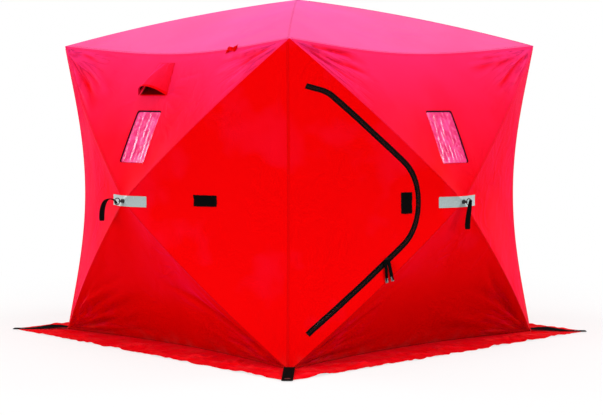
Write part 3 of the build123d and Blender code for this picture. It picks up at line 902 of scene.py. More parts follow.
# 0 where the cloth is held still, 1 where folds are free.
def calmAt(wall, side, s, z, u):
    calm = smooth(*stillness["edge"], edgeDistance(side, s, z, u))
    if side == "upper":
        dx = np.abs(s - window["shift"][wall]) - window["width"] / 2
        dz = np.abs(z - windowMiddle) - window["height"] / 2
        calm = calm * smooth(*stillness["window"], np.maximum(dx, dz)) ** 0.6
        if wall == "left":
            away = np.hypot((s - vent["middle"]) * 0.8, z - vent["height"] - 0.005)
            calm = calm * smooth(*stillness["vent"], away)
    calm = calm * smooth(*stillness["hub"], np.hypot(s, z - hub))
    if (wall, side) == ("front", "left"):
        near = np.min([np.hypot(s - x, z - y) for x, y in zipPath(0.0)[::2]], axis=0)
        calm = calm * smooth(*stillness["zip"], near)
    return calm


def hoodWidth(down):
    return hood["topWidth"] + (hood["mouthWidth"] - hood["topWidth"]) * down


# 1 on the wall under the vent's hood, 0 away from it.
def underHood(s, z):
    down = (hood["topHeight"] - z) / (hood["topHeight"] - hood["mouthHeight"])
    across = np.abs(s - hood["middle"]) / (hoodWidth(down) / 2)
    return smooth(1.0, 0.88, across) * smooth(1.0, 0.95, down) * smooth(0.0, 0.1, down)


tone = {
    # Fold shade and light: painted shade in fold valleys and painted light on fold ridges.
    "foldLightAndShade": 45,  # how strongly a fold's height darkens or lightens the cloth
    "foldLightAndShadeLimits": (-0.4, 0.12),
    # pale and paleRise: painted light towards the top of the upper panels; hoodShade: painted shade under
    # the vent's hood.
    "pale": 0.72,
    "paleRise": 2.2,
    "hoodShade": 1.8,
    # Painted shade, darker towards the bottom of each wall's lower panel, with a painted shadow line at its
    # base.
    "paintedLowShade": {"front": (0.62, 0.46), "left": (0.46, 0.36), "back": (0.62, 0.46), "right": (0.62, 0.46)},
}


# Painted light and shade on the cloth: above 0 paler, towards the top of the upper panels, towards their
# sides and on fold ridges; below 0 darker, in fold valleys, under the vent's hood and towards the bottom of
# the panels.
def paintedLightOf(wall, side, s, z, folds):
    foldLightAndShade = np.clip(folds * tone["foldLightAndShade"], *tone["foldLightAndShadeLimits"])
    if side == "upper":
        high = np.clip((z - hub) / (top - hub), 0, 1)
        pale = 0.01 + tone["pale"] * high ** tone["paleRise"] + 0.08 * (np.abs(s) / half) ** 2 + foldLightAndShade
        if wall == "left":
            pale = pale - tone["hoodShade"] * underHood(s, z)
        return np.clip(pale, -1, 1)
    if side == "lower":
        reach, depth = tone["paintedLowShade"][wall]
        paintedLowShade = depth * (1 - smooth(0.0, reach, z)) ** 1.3 + 0.25 * bell(z, 0, 0.016)
        return np.clip(np.minimum(foldLightAndShade * 0.45, 0) - paintedLowShade, -1, 0)
    return -0.10 * (1 - smooth(0.0, 0.3, z))


# The outer face of the cloth with its folds, and its painted light and shade.
def wallSkin(wall, side, s, z):
    w, u = clothAt(side, s, z)
    seed = wallSeeds[wall] * 100 + sideSeeds[side]
    folds = foldField(s, z, makeFolds(side, seed) + extraFolds.get((wall, side), []))
    relief = folds + ripple(s, z, 0.30, seed + 1) * foldStyle[side]["wave"]
    relief = relief + ripple(s, z, 0.075, seed + 2) * 0.00035
    calm = calmAt(wall, side, s, z, u)
    return w + relief * calm, paintedLightOf(wall, side, s, z, folds * calm)


# Points on a wall's skin, at a lift from it.
def onWall(wall, side, flat, lift=0.0):
    s, z = flat[:, 0], flat[:, 1]
    return toRow(wall, s, z, wallSkin(wall, side, s, z)[0] + lift)


fineCorners = {"upper": top, "lower": 0.0}  # height of the corners round which folds gather


def clothPiece(name, wall, side, outline, holes=()):
    fine = [(way * half, fineCorners[side], 0.42) for way in (1, -1) if side in fineCorners]
    flat, tris = meshFlat(outline, holes, shelter["grid"], fine)
    w, paintedLightAndPaleEdge = wallSkin(wall, side, flat[:, 0], flat[:, 1])
    return makeMesh(name, toRow(wall, flat[:, 0], flat[:, 1], w), tris, flat, paintedLightAndPaleEdge)


# A panel's share of the hole round a hub's stem, ending nearest to start.
def stemArc(seam, middle, start):
    outline = np.vstack([[middle], seam])
    ring = circle(*middle, shelter["stemHole"], 32)
    tip = ring[insideOf(outline, ring)]
    ahead = outline[len(outline) // 2] - np.array(middle)
    turn = np.arctan2(tip[:, 1] - middle[1], tip[:, 0] - middle[0]) - math.atan2(ahead[1], ahead[0])
    tip = tip[np.argsort((turn + math.pi) % (2 * math.pi))]
    if np.linalg.norm(tip[0] - start) < np.linalg.norm(tip[-1] - start):
        tip = tip[::-1]
    return tip


for wall in wallAxes:
    for side in sides:
        if (wall, side) == ("front", "left"):
            continue
        holes = [windowOutline(wall)] if side == "upper" else []
        if (wall, side) == ("left", "upper"):
            holes.append(circle(vent["middle"], vent["height"], vent["radius"], 48))
        edge = seamPath(side, np.linspace(0, 1, 120))
        cut = np.vstack([edge, stemArc(edge, (0, hub), edge[0])])
        piece = clothPiece(wall + "Wall" + side.capitalize(), wall, side, cut, holes)
        stands = [wall + "_wall_" + side + "_panel"]
        finishPiece(piece, wallCloth, shelter["clothThick"], stands)
    print("wall cloth", wall)

# The panel beside the door, and the door with its jamb as one cloth

lowT, highT = doorBottom / top, doorTop / top
edge = seamPath("left", np.linspace(0, 1, 120))
runs = (0, lowT, 24), (lowT, highT, 90), (highT, 1, 30)
seamLow, seamDoor, seamHigh = (seamPath("left", np.linspace(*run)) for run in runs)
cut = np.vstack([seamLow, zipPath(0.0)[::-1], seamHigh, stemArc(edge, (0, hub), seamLow[0])])
piece = clothPiece("frontWallDoorSurround", "front", "left", cut)
stands = ["door_surround_upper", "door_surround_lower"]
finishPiece(piece, wallCloth, shelter["clothThick"], stands)
cut = np.vstack([seamDoor, [[foldEnd, doorTop]], zipPath(door["zipGap"]), [[foldEnd, doorBottom]]])
doorCloth = clothPiece("doorCloth", "front", "left", cut)


def bendWithDoor(piece):
    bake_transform(piece)


stands = ["door_jamb", "door_flap"]
finishPiece(doorCloth, wallCloth, shelter["clothThick"], stands, body=None)
bendWithDoor(doorCloth)
print("door cloth")

# Geometry Nodes: stitches, and zip teeth


# Places the shape along the mesh's lines, its Z away from the cloth and its X along the line.
def placeAlong(tree, given, out, shape):
    line = put(tree, "GeometryNodeMeshToCurve", None, x_0=given["Geometry"])
    run = put(tree, "GeometryNodeResampleCurve", {"mode": "LENGTH"}, Curve=line.outputs[0],
              Length=given["Spacing"])
    facing = put(tree, "GeometryNodeInputNamedAttribute", {"data_type": "FLOAT_VECTOR"}, Name="faceOut")
    tangent = tree.nodes.new("GeometryNodeInputTangent")
    stand = put(tree, "FunctionNodeAlignRotationToVector", {"axis": "Z"}, Vector=facing.outputs[0])
    turn = put(tree, "FunctionNodeAlignRotationToVector", {"axis": "X", "pivot_axis": "Z"},
               Rotation=stand.outputs[0], Vector=tangent.outputs[0])
    kind = {"data_type": "FLOAT"}
    size = put(tree, "FunctionNodeRandomValue", kind, x_2=0.88, x_3=1.08, Seed=given["Seed"])
    placed = put(tree, "GeometryNodeInstanceOnPoints", None, Points=run.outputs[0], Instance=shape,
                 Rotation=turn.outputs[0], Scale=size.outputs[1])
    real = put(tree, "GeometryNodeRealizeInstances", None, x_0=placed.outputs[0])
    done = put(tree, "GeometryNodeSetMaterial", None, Geometry=real.outputs[0], Material=given["Material"])
    feed(tree, out[0], done.outputs[0])
    return tree


def startRun(name, own):
    inputs = {"Geometry": "Geometry", "Spacing": "Float", **own, "Seed": "Int", "Material": "Material"}
    return startGroup("GeometryNodeTree", name, inputs, {"Geometry": "Geometry"})


def makeStitchTree():
    tree, given, out = startRun("stitchRun", {"Stitch Length": "Float", "Thread Radius": "Float"})
    thread = put(tree, "GeometryNodeMeshCylinder", None, Vertices=4, Radius=given["Thread Radius"],
                 Depth=given["Stitch Length"])
    turned = (0, math.pi / 2, 0)
    lain = put(tree, "GeometryNodeTransform", None, Geometry=thread.outputs[0], Rotation=turned)
    return placeAlong(tree, given, out, lain.outputs[0])


def makeTeethTree():
    tree, given, out = startRun("zipTeeth", {"Tooth Size": "Vector"})
    tooth = put(tree, "GeometryNodeMeshCube", None, Size=given["Tooth Size"])
    return placeAlong(tree, given, out, tooth.outputs[0])


stitchTree, teethTree = makeStitchTree(), makeTeethTree()


# One piece from a node tree run along lines; each run is its points and the ways out of the cloth.
def growAlong(name, runs, tree, values, material, body):
    mesh = bpy.data.meshes.new(name)
    points, edges, facing = [], [], []
    for line, out in runs:
        start = len(points)
        points += [tuple(p) for p in line]
        facing += [tuple(n) for n in np.broadcast_to(out, np.shape(line))]
        edges += [(start + i, start + i + 1) for i in range(len(line) - 1)]
    mesh.from_pydata(points, edges, [])
    attribute = mesh.attributes.new("faceOut", "FLOAT_VECTOR", "POINT")
    attribute.data.foreach_set("vector", np.array(facing, np.float32).ravel())
    piece = newObject(name, mesh)
    modifier = piece.modifiers.new("run", "NODES")
    modifier.node_group = tree
    values = {**values, "Material": material}
    for item in tree.interface.items_tree:
        if item.in_out == "INPUT" and item.name in values:
            modifier[item.identifier] = values[item.name]
    piece.update_tag()
    bpy.context.view_layer.update()
    graph = bpy.context.evaluated_depsgraph_get()
    grown = bpy.data.meshes.new_from_object(piece.evaluated_get(graph))
    piece.modifiers.clear()
    piece.data = grown
    return finishPiece(piece, material, body=body)


stitch = {"Spacing": 0.0074, "Stitch Length": 0.0050, "Thread Radius": 0.00042, "Seed": 3}
ringSpacing = 0.006  # between the points of a line of stitches round a cut


def sew(name, lines, thread, body="shelter"):
    return growAlong(name, lines, stitchTree, stitch, thread, body)


# Seams: a felled strip along each pole, corner and edge, with two rows of stitches

felled = {"width": 0.011, "rise": 0.0009, "thick": 0.0006, "inset": 0.0004, "cornerShade": 0.12}
rowShares = (0.0, 0.12, 0.88, 1.0)
rowRises = (0.1, 1.0, 1.0, 0.1)


# Rows of points across a strip on a surface; place turns flat points and a lift into the frame.
def stripRows(place, path, inward, width, rise, shares=rowShares, rises=rowRises):
    rows = [place(path + inward * width * share, rise * lift) for share, lift in zip(shares, rises)]
    return np.stack(rows, axis=1)


# One mesh from several strips of n by m points.
def joinStrips(name, strips, pale=None):
    points, faces, uv = [], [], []
    for strip in strips:
        rows, columns = strip.shape[:2]
        start = len(points)
        reach = reachAlong(strip[:, 1])
        across = np.linalg.norm(strip[0] - strip[0, 0], axis=1)
        normal = np.cross(strip[1, 0] - strip[0, 0], strip[0, -1] - strip[0, 0])
        inwards = normal @ (strip.reshape(-1, 3).mean(0) - up * hub) < 0
        points += list(strip.reshape(-1, 3))
        uv += [(across[j], reach[i]) for i in range(rows) for j in range(columns)]
        faces += [tuple(start + i for i in face) for face in gridFaces(rows, columns, flip=not inwards)]
    paintedLightAndPaleEdge = None if pale is None else np.concatenate([part.ravel() for part in pale])
    return makeMesh(name, points, faces, uv, paintedLightAndPaleEdge)


# Unit ways out of the cloth along a line, from the way across it.
def waysOut(line, across):
    out = unit(np.cross(np.gradient(line, axis=0), across))
    middle = len(line) // 2
    return out if out[middle] @ (line[middle] - up * hub) >= 0 else -out


def stitchLines(rows, shares=(0.22, 0.78)):
    lines = []
    for share in shares:
        line = rows[:, 1] + (rows[:, 2] - rows[:, 1]) * share
        out = waysOut(line, rows[:, -1] - rows[:, 0])
        lines.append((line + out * stitch["Thread Radius"] * 0.4, out))
    return lines


poleShares = np.linspace(0.05, 0.985, 90)[:, None]
seamShares = np.linspace(0.012, 0.988, 90)
seamInward = {"right": (-1.0, 0.0), "left": (1.0, 0.0), "upper": (0.0, -1.0), "lower": (0.0, 1.0)}


# The panel, path, way in, width and shade of each seam on a wall.
def seamRuns(wall):
    for side, corner, sign in (("upper", top, 1), ("lower", 0.0, -1)):
        for way in (1, -1):
            path = np.array([0.0, hub]) + np.array([way * half, corner - hub]) * poleShares
            inward = unit(np.array([-way * abs(corner - hub), sign * half]))
            yield side, path, inward, felled["width"], 0.0
    for side, inward in seamInward.items():
        if (wall, side) != ("front", "left"):
            path = seamPath(side, seamShares) + np.array([0, 0.004 if side == "lower" else 0])
            shade = felled["cornerShade"] if side in ("left", "right") else 0.0
            yield side, path, np.array(inward), felled["width"] * 1.1, shade


panelCuts = {  # flat width, length and area of each kind of panel, before sewing
    "upper": ((1.68, 0.74), 0.61),
    "lower": ((1.68, 0.78), 0.64),
    "left": ((1.46, 0.86), 0.60),
    "right": ((1.46, 0.86), 0.60),
    "doorSurround": ((1.46, 0.40), 0.18),
}


# A piece of felled strips, and the piece of their stitches.
def fellSeams(name, strips, pale, cloth):
    tapes = finishPiece(joinStrips(name + "Seams", strips, pale), cloth, felled["thick"])
    lines = [line for strip in strips for line in stitchLines(strip)]
    return [tapes, sew(name + "Stitching", lines, redThread)]


for wall in wallAxes:
    strips, pale = [], []
    for side, path, inward, width, shade in seamRuns(wall):
        path = path + inward * felled["inset"]
        strips.append(stripRows(partial(onWall, wall, side), path, inward, width, felled["rise"]))
        # The seams carry the wall's painted light and shade, the corner seams a little more painted shade.
        rows = [wallSkin(wall, side, *(path + inward * width * share).T)[1] for share in rowShares]
        pale.append(np.stack(rows, axis=1) - shade)
    seams = fellSeams(wall + "Wall", strips, pale, wallCloth)
    for side in sides:
        flat, area = panelCuts["doorSurround" if (wall, side) == ("front", "left") else side]
print("seams and stitches")

# Windows: a wrinkled clear film behind each opening, and a dark binding round it


# Points behind a wall's upper panel, with the film's own waves where asked.
def behindCloth(wall, flat, depth, wave=0.0):
    s, z = flat[:, 0], flat[:, 1]
    w = clothAt("upper", s, z)[0]
    if wave:
        seed = wallSeeds[wall]
        hang = ripple(s * 3.1, z * 0.55, 0.085, seed, 14) + 0.5 * ripple(s, z, 0.03, seed + 5, 14)
        edge = np.minimum(window["width"] / 2 - np.abs(s - window["shift"][wall]),
                          window["height"] / 2 - np.abs(z - windowMiddle))
        w = w + wave * hang * smooth(-0.004, 0.03, edge)
    return toRow(wall, s, z, w - depth)


for wall, (along, out) in wallAxes.items():
    hidden = windowOutline(wall, window["overlap"])
    flat, tris = meshFlat(hidden, (), window["grid"])
    points = behindCloth(wall, flat, window["recess"], window["wave"])
    film = makeMesh(wall + "WindowFilm", points, tris, flat)
    finishPiece(film, windowFilm, window["filmThick"], ["window_panes"])
    wide, thin = window["binding"], window["bindingThin"]
    low, high = (wide, thin) if window["wideSide"][wall] < 0 else (thin, wide)
    inner = roundedBox(
        window["shift"][wall] + (low - high) / 2, windowMiddle + (thin - wide) / 2,
        window["width"] - low - high, window["height"] - thin - wide, window["corner"] - thin)
    flat, tris = meshFlat(hidden, [inner], window["grid"])
    points = behindCloth(wall, flat, window["bindingRecess"])
    binding = makeMesh(wall + "WindowBinding", points, tris, flat)
    finishPiece(binding, bindingTape, window["bindingThick"])
    ring = closedRing(windowOutline(wall, window["stitchMargin"]), ringSpacing)
    line = onWall(wall, "upper", ring, 0.0001)
    sew(wall + "WindowStitching", [(line, out * 0.9 + up * 0.4)], redThread)
print("windows")

# Zip: a tape on each side, teeth between them, a slider and two pull tabs

zipTeeth = {"Spacing": 0.0026, "Tooth Size": (0.0015, 0.0034, 0.0016), "Seed": 5}
zipSides = {  # shares of the tape's width, to the right of the zip's line; a stitch's share and lift
    "Wall": {
        "body": "shelter",
        "node": "zip_wall_side",
        "restsOn": "frontWallDoorSurround",
        "flatWidth": 0.016,
        "shares": (-1.0, -0.85, -0.12, 0.0, 0.62),
        "rises": (0.1, 1.0, 1.0, -0.5, -0.5),
        "stitches": ((-0.2, 0.0013), (-0.8, 0.0012)),
        "teethAt": 0.0014,
    },
    "Door": {
        "body": None,
        "node": "zip_door_side",
        "restsOn": "doorCloth",
        "flatWidth": 0.01,
        "shares": (0.69, 0.79, 1.52, 1.667),
        "rises": rowRises,
        "stitches": ((0.86, 0.0013), (1.5, 0.0012)),
        "teethAt": 0.0046,
    },
}


# Evenly spaced points on a path, and the unit way across it, to its right.
def alongPath(path, spacing):
    reach = reachAlong(path)
    at = np.linspace(0, reach[-1], max(2, int(reach[-1] / spacing) + 1))
    points = np.column_stack([np.interp(at, reach, path[:, i]) for i in (0, 1)])
    way = unit(np.gradient(points, axis=0))
    return points, np.column_stack([way[:, 1], -way[:, 0]])


doorPlace = partial(onWall, "front", "left")
line, right = alongPath(zipPath(0.0), 0.006)
across = right * door["tape"]
for name, own in zipSides.items():
    body = own["body"]
    rows = stripRows(doorPlace, line, right, door["tape"], door["tapeRise"], own["shares"], own["rises"])
    tape = joinStrips("zipTape" + name, [rows])
    finishPiece(tape, zipTape, door["tapeThick"], [own["node"]], body)
    toothLine = doorPlace(line + right * own["teethAt"], 0.0008)
    out = waysOut(toothLine, rows[:, -1] - rows[:, 0])
    teeth = growAlong("zipTeeth" + name, [(toothLine, out)], teethTree, zipTeeth, zipPlastic, body)
    runs = [(doorPlace(line + across * share, lift), out) for share, lift in own["stitches"]]
    threads = sew("zipStitching" + name, runs, blackThread, body)
    if not body:
        for piece in (tape, teeth, threads):
            bendWithDoor(piece)


# A band along a line of points; curl lifts its edges along its own normal.
def ribbon(name, centre, across, widths, columns, curl):
    across = unit(across)
    normal = unit(np.cross(np.gradient(centre, axis=0), across))
    x = np.linspace(-0.5, 0.5, columns)
    offset = x * widths[:, None]
    points = centre[:, None] + across[:, None] * offset[..., None]
    points = points + normal[:, None] * (curl * (4 * x * x - 1 / 3))[:, None]
    return gridMesh(name, points, (offset, np.repeat(reachAlong(centre)[:, None], columns, axis=1)))


# A smooth open line through or near the points.
def smoothLine(points, count):
    points = np.asarray(points, float)
    knots, fine = np.linspace(0, 1, len(points)), np.linspace(0, 1, count)
    out = np.column_stack([np.interp(fine, knots, points[:, k]) for k in range(3)])
    for step in range(int(count * 0.6)):
        out[1:-1] = out[1:-1] * 0.5 + (out[:-2] + out[2:]) * 0.25
    return out


# Bevelled blocks as one piece; each is its centre, the unit ways of its sides, its size and its bevel.
def blockPiece(name, blocks, segments, material, stands=(), body="shelter"):
    joined = bmesh.new()
    for centre, ways, size, bevel in blocks:
        made = bmesh.new()
        bmesh.ops.create_cube(made, size=1.0)
        for vert in made.verts:
            vert.co = Vector(centre + (np.array(vert.co) * size) @ np.array(ways))
        bmesh.ops.bevel(made, geom=list(made.edges), offset=bevel, segments=segments, affect="EDGES",
                        profile=0.6)
        bmesh.ops.recalc_face_normals(made, faces=made.faces)
        block = bpy.data.meshes.new(name)
        made.to_mesh(block)
        made.free()
        joined.from_mesh(block)
        bpy.data.meshes.remove(block)
    mesh = bpy.data.meshes.new(name)
    joined.to_mesh(mesh)
    joined.free()
    mesh.shade_smooth()
    return finishPiece(newObject(name, mesh), material, None, stands, body)


slider = {
    "at": -0.392,
    "size": (0.020, 0.0115, 0.0062),
    "bevel": 0.0022,
    "bridge": (0.010, 0.0045, 0.0032),
    "bridgeBevel": 0.0012,
    "bridgeRise": 0.0042,
    "lift": 0.0032,
}
pullTab = {
    "width": 0.017,
    "length": 0.098,
    "thick": 0.0022,
    "spacing": 0.019,
    "tip": (0.0095, 0.018, 0.0040),
    "tipBevel": 0.0016,
    "rows": 26,
    "shapes": {"Left": (-1, -0.004, 0.0), "Right": (1, 0.005, -0.006)},  # side, slant and drop
}
sliderInset = door["zipMargin"] + door["zipGap"] + door["tape"] / 2
sliderZ = meet(besidePole(poleDown, sliderInset), poleDown, (slider["at"], 0), upright)[1]

# The door's cloth at the slider, with its ways along the wall, up the cloth and out of it
near = np.array([slider["at"], sliderZ]) + 0.004 * np.array([(0, 0), (1, 0), (0, 1)])
at, alongS, alongZ = doorPlace(near, 0.0)
wayS, wayZ, wayOut = unit(alongS - at), unit(alongZ - at), unit(np.cross(alongS - at, alongZ - at))
zipWay = wayS * math.cos(poleDown + math.pi) + wayZ * math.sin(poleDown + math.pi)
ways = (zipWay, np.cross(wayOut, zipWay), wayOut)
middle = at + wayOut * (slider["lift"] + slider["size"][2] / 2)
blocks = [
    (middle, ways, slider["size"], slider["bevel"]),
    (middle + wayOut * slider["bridgeRise"], ways, slider["bridge"], slider["bridgeBevel"]),
]
blockPiece("zipSlider", blocks, 3, zipPlastic, ["zip_pulls"], "door")
tips = []
for name, (way, slant, drop) in pullTab["shapes"].items():
    side = way * pullTab["spacing"] / 2
    stations = [
        (side * 0.4, -0.002, 0.0095),
        (side * 0.9, -0.014, 0.0112),
        (side, -0.037, 0.0100),
        (side + slant * 0.5, -0.067, 0.0090),
        (side + slant, -0.002 - pullTab["length"] - drop, 0.0085),
    ]
    line = smoothLine([at + wayS * a + wayZ * b + wayOut * c for a, b, c in stations], pullTab["rows"])
    share = np.linspace(0, 1, pullTab["rows"])
    widths = pullTab["width"] * np.interp(share, [0, 0.15, 0.75, 1], [0.55, 0.9, 0.92, 0.8])
    across = np.tile(wayS + wayOut * 0.25 * way, (pullTab["rows"], 1))
    tab = ribbon("zipTab" + name, line, across, widths, 5, 0.0008)
    finishPiece(tab, blackWebbing, pullTab["thick"], body="door")
    down = unit(line[-1] - line[-4])
    ways = (np.cross(wayOut, down), down, wayOut)
    tips.append((line[-1] - down * 0.004, ways, pullTab["tip"], pullTab["tipBevel"]))
blockPiece("zipTabTips", tips, 3, greyTip, body="door")
print("zip")

# Patches on the walls

patch = {
    "rise": 0.0022,
    "wave": 0.0004,
    "corner": 0.002,
    "thick": 0.0018,
    "grid": 0.0065,
    "stitchInset": 0.006,
    "stitchRise": 0.0024,
}
zipCorner = poleLines(door["zipMargin"])[2]
cornerCut = door["tipRadius"] * (1 / math.sin(abs((poleUp - poleDown - math.pi) / 2)) - 1)
patches = {
    "wallPatch": {
        "wall": "left",
        "side": "right",
        "at": (0.410, hub + 0.013),
        "size": (0.105, 0.052),
        "body": "shelter",
        "node": "wall_patch",
        "restsOn": "leftWallRight",
        "ragged": 0.0007,
        "seed": 5,
    },
    "doorTab": {
        "wall": "front",
        "side": "left",
        "at": (zipCorner[0] - cornerCut - 0.060, zipCorner[1] + 0.002),
        "size": (0.051, 0.097),
        "body": "door",
        "node": "door_tab",
        "restsOn": "doorCloth",
        "ragged": 0.0005,
        "seed": 9,
    },
}
for name, own in patches.items():
    wall, side, seed, (width, height) = own["wall"], own["side"], own["seed"], own["size"]
    cut = resample(roundedBox(*own["at"], width, height, patch["corner"], 3), 0.004)
    cut = cut + own["ragged"] * np.column_stack([ripple(*cut.T, 0.03, seed + i, 9) for i in (0, 1)])
    flat, tris = meshFlat(cut, (), patch["grid"])
    points = onWall(wall, side, flat, patch["rise"] + patch["wave"] * ripple(*flat.T, 0.04, seed + 3, 9))
    piece = makeMesh(name, points, tris, flat)
    finishPiece(piece, hookTape, patch["thick"], [own["node"]], own["body"])
    inset = patch["stitchInset"]
    ring = roundedBox(*own["at"], width - inset, height - inset, patch["corner"], 3)
    ring = closedRing(ring, ringSpacing)
    line = onWall(wall, side, ring, patch["stitchRise"])
    threads = sew(name + "Stitching", [(line, wallAxes[wall][1])], blackThread, own["body"])

reflector = {
    "length": 0.250,
    "height": 0.050,
    "corner": 0.0015,
    "rise": 0.0022,
    "wave": 0.0003,
    "thick": 0.0010,
    "grid": 0.006,
    "paleEdge": 0.004,
}


# The smooth cloth anywhere on a wall.
def wholeWall(s, z):
    aside = np.where(np.abs(s) < 1e-6, np.where(s >= 0, 1e-6, -1e-6), s)
    w = np.where(s >= 0, clothAt("right", aside, z)[0], clothAt("left", aside, z)[0])
    below = (hub - z) > np.abs(s) * hub / half
    w = np.where(below, clothAt("lower", s, np.minimum(z, hub - 1e-6))[0], w)
    above = (z - hub) > np.abs(s) * (top - hub) / half
    return np.where(above, clothAt("upper", s, np.maximum(z, hub + 1e-6))[0], w)


for wall in wallAxes:
    cut = roundedBox(0.0, hub, reflector["length"], reflector["height"], reflector["corner"], 3)
    flat, tris = meshFlat(cut, [circle(0, hub, shelter["stemHole"], 24)], reflector["grid"])
    s, z = flat[:, 0], flat[:, 1]
    edge = np.minimum(reflector["length"] / 2 - np.abs(s), reflector["height"] / 2 - np.abs(z - hub))
    pale = 1 - smooth(0.0, reflector["paleEdge"], edge)
    w = wholeWall(s, z) + reflector["rise"] + reflector["wave"] * ripple(s, z, 0.05, wallSeeds[wall], 9)
    tape = makeMesh(wall + "Reflector", toRow(wall, s, z, w), tris, flat, pale)
    finishPiece(tape, reflectiveTape, reflector["thick"], ["reflective_patches"])
print("patches")

# Roof

roof = {"grid": 0.0130, "pale": 0.78, "fade": 0.34, "rimPale": 0.42, "rimInset": 0.0006}


# Points of the roof's skin, from s along a wall and y out from the middle, at a lift from it.
def onRoof(wall, flat, lift=0.0):
    s, y = flat[:, 0], flat[:, 1]
    t = solveRising(lambda t: (2 * t - 1) * half / roofEdge(t), s / y)
    u = y / roofEdge(t)
    z = shelter["apexHeight"] * (1 - u) + top * u - shelter["topBow"] * bow(t) * u * (2 + 3 * u) / 5
    z = z + shelter["roofPoleBow"] * swell(u, t)
    relief = foldField(s, y - half, makeFolds("roof", wallSeeds[wall] * 7 + 3))
    relief = relief + foldStyle["roof"]["wave"] * ripple(s, y, 0.28, wallSeeds[wall] + 9)
    edge = np.minimum(roofEdge(t) - y, np.abs(y - np.abs(s)) / math.sqrt(2))
    relief = relief * smooth(0.0, 0.05, edge) * smooth(0.06, 0.18, y)
    return toRow(wall, s, z + relief + lift, y - half)


def roofPale(u):
    return roof["pale"] - roof["fade"] * u


def roofRim(t, inset=0.0):
    return np.column_stack([(2 * t - 1) * half, roofEdge(t) - inset])


diagonal = np.array([-1.0, 1.0])
for wall in wallAxes:
    edge = roofRim(np.linspace(0, 1, 130))
    flat, tris = meshFlat(np.vstack([edge, stemArc(edge, (0, 0), edge[0])]), (), roof["grid"])
    # Painted light: the roof paler towards its apex.
    pale = roofPale(np.clip(flat[:, 1] / half, 0, 1))
    cloth = makeMesh(wall + "Roof", onRoof(wall, flat), tris[:, ::-1], flat, pale)
    finishPiece(cloth, paintedLitRoofCloth, shelter["clothThick"], [wall + "_roof_panel"])
    runs = (
        (np.array([half, half]) * poleShares + diagonal * felled["inset"], unit(diagonal)),
        (roofRim(seamShares, roof["rimInset"]), np.array([0.0, -1.0])),
    )
    place = partial(onRoof, wall)
    strips = [stripRows(place, path, inward, felled["width"], felled["rise"]) for path, inward in runs]
    # The roof's seams carry the same painted light; the rim's is one level.
    pale = [roofPale(np.tile(poleShares, (1, 4))), np.full((90, 4), roof["rimPale"])]
    seams = fellSeams(wall + "Roof", strips, pale, paintedLitRoofCloth)
print("roof")

# Vent hood on the left wall, and the tie at the roof's edge above it

leftAlong, leftOut = wallAxes["left"]


def spread(first, second):
    return np.meshgrid(first, second, indexing="ij")


# A point of the hood: down from 0 at its top to 1 at its mouth, across from -1 to 1.
def hoodPoint(down, across):
    arch = 1 - np.abs(across) ** 2.2
    s = hood["middle"] + across * hoodWidth(down) / 2
    z = hood["topHeight"] + (hood["mouthHeight"] - hood["topHeight"]) * down + hood["rise"] * arch * down
    lift = hood["topLift"] + (hood["lift"] - hood["topLift"]) * down ** 0.9
    crease = hood["crease"] * bell(across, -0.05 - 0.25 * (1 - down), 0.13) * smooth(0.15, 0.8, down)
    sag = hood["sag"] * bell(across, 0.5, 0.22) * np.sin(math.pi * np.clip(down * 1.1, 0, 1))
    pucker = hood["pucker"] * bell(across, 0.62, 0.12) * bell(down, 0.10, 0.12)
    wave = hood["wave"] * np.sin(across * 9 + down * 5)
    relief = (lift - sag + wave) * arch + crease + pucker
    return toRow("left", s, z, clothAt("upper", s, z)[0] + hood["standOff"] + relief)


down, across = spread(np.linspace(0, 1, hood["rows"]), np.linspace(-1, 1, hood["columns"]))
# Painted light on the hood: paler on one side and towards its top.
pale = 0.34 - 0.12 * across - 0.14 * down
hoodCloth = gridMesh("ventHood", hoodPoint(down, across), (across * 0.09, -down * 0.17), pale, flip=True)
finishPiece(hoodCloth, wallCloth, shelter["clothThick"], ["vent_hood"])
# A near-black sheet set inside the hood: painted shade in its mouth.
down, across = spread(np.linspace(0.25, 0.93, 24), np.linspace(-0.96, 0.96, 40))
inside = hoodPoint(down, across) - leftOut * hood["shadeSheetGap"]
shadeSheet = gridMesh("ventHoodShadeSheet", inside, (across * 0.09, down * 0.17))
finishPiece(shadeSheet, hoodShadeSheet)
facing = leftOut + up * 0.5
t = np.linspace(-0.985, 0.985, 70)
rows = [hoodPoint(np.full(70, down), t) for down in hood["hem"]]
lip = np.stack([row + facing * felled["rise"] * rise for row, rise in zip(rows, rowRises)], axis=1)
lipTape = finishPiece(joinStrips("ventHoodHem", [lip]), wallCloth, hood["hemThick"])
rim = [hoodPoint(np.linspace(0.02, 0.98, 60), np.full(60, across)) for across in (-0.985, 0.985)]
rim.append(hoodPoint(np.full(60, 0.02), np.linspace(-0.97, 0.97, 60)))
lines = [(line + facing * 0.001, facing) for line in rim] + stitchLines(lip)
threads = sew("ventHoodStitching", lines, redThread)

tie = {
    "at": 0.424,
    "width": 0.070,
    "height": 0.034,
    "puff": 0.0075,
    "fold": 0.002,
    "standOff": 0.003,
    "rows": 41,
    "columns": 15,
    "knot": (0.013, 0.020, 0.012),
    "knotBevel": 0.005,
    "knotRise": 0.009,
}
tieZ = seamAt("upper", (tie["at"] + half) / (2 * half))[1] - 0.002


# A point of the tie's bow, along and across from -1 to 1, at a share of its puff.
def tiePoint(along, across, share):
    pinch = 0.30 + 0.70 * np.abs(along) ** 0.8
    s = tie["at"] + along * tie["width"] / 2
    z = tieZ + across * tie["height"] / 2 * pinch + 0.004 * along
    puff = tie["puff"] * np.sin(math.pi * np.abs(along)) ** 0.8 * (1 - across ** 2) + 0.003
    fold = tie["fold"] * np.sin(across * 8 + along * 3) * np.abs(along)
    under = clothAt("upper", s, np.minimum(z, tieZ + 0.018))[0]
    return toRow("left", s, z, under + tie["standOff"] + puff * share + fold)


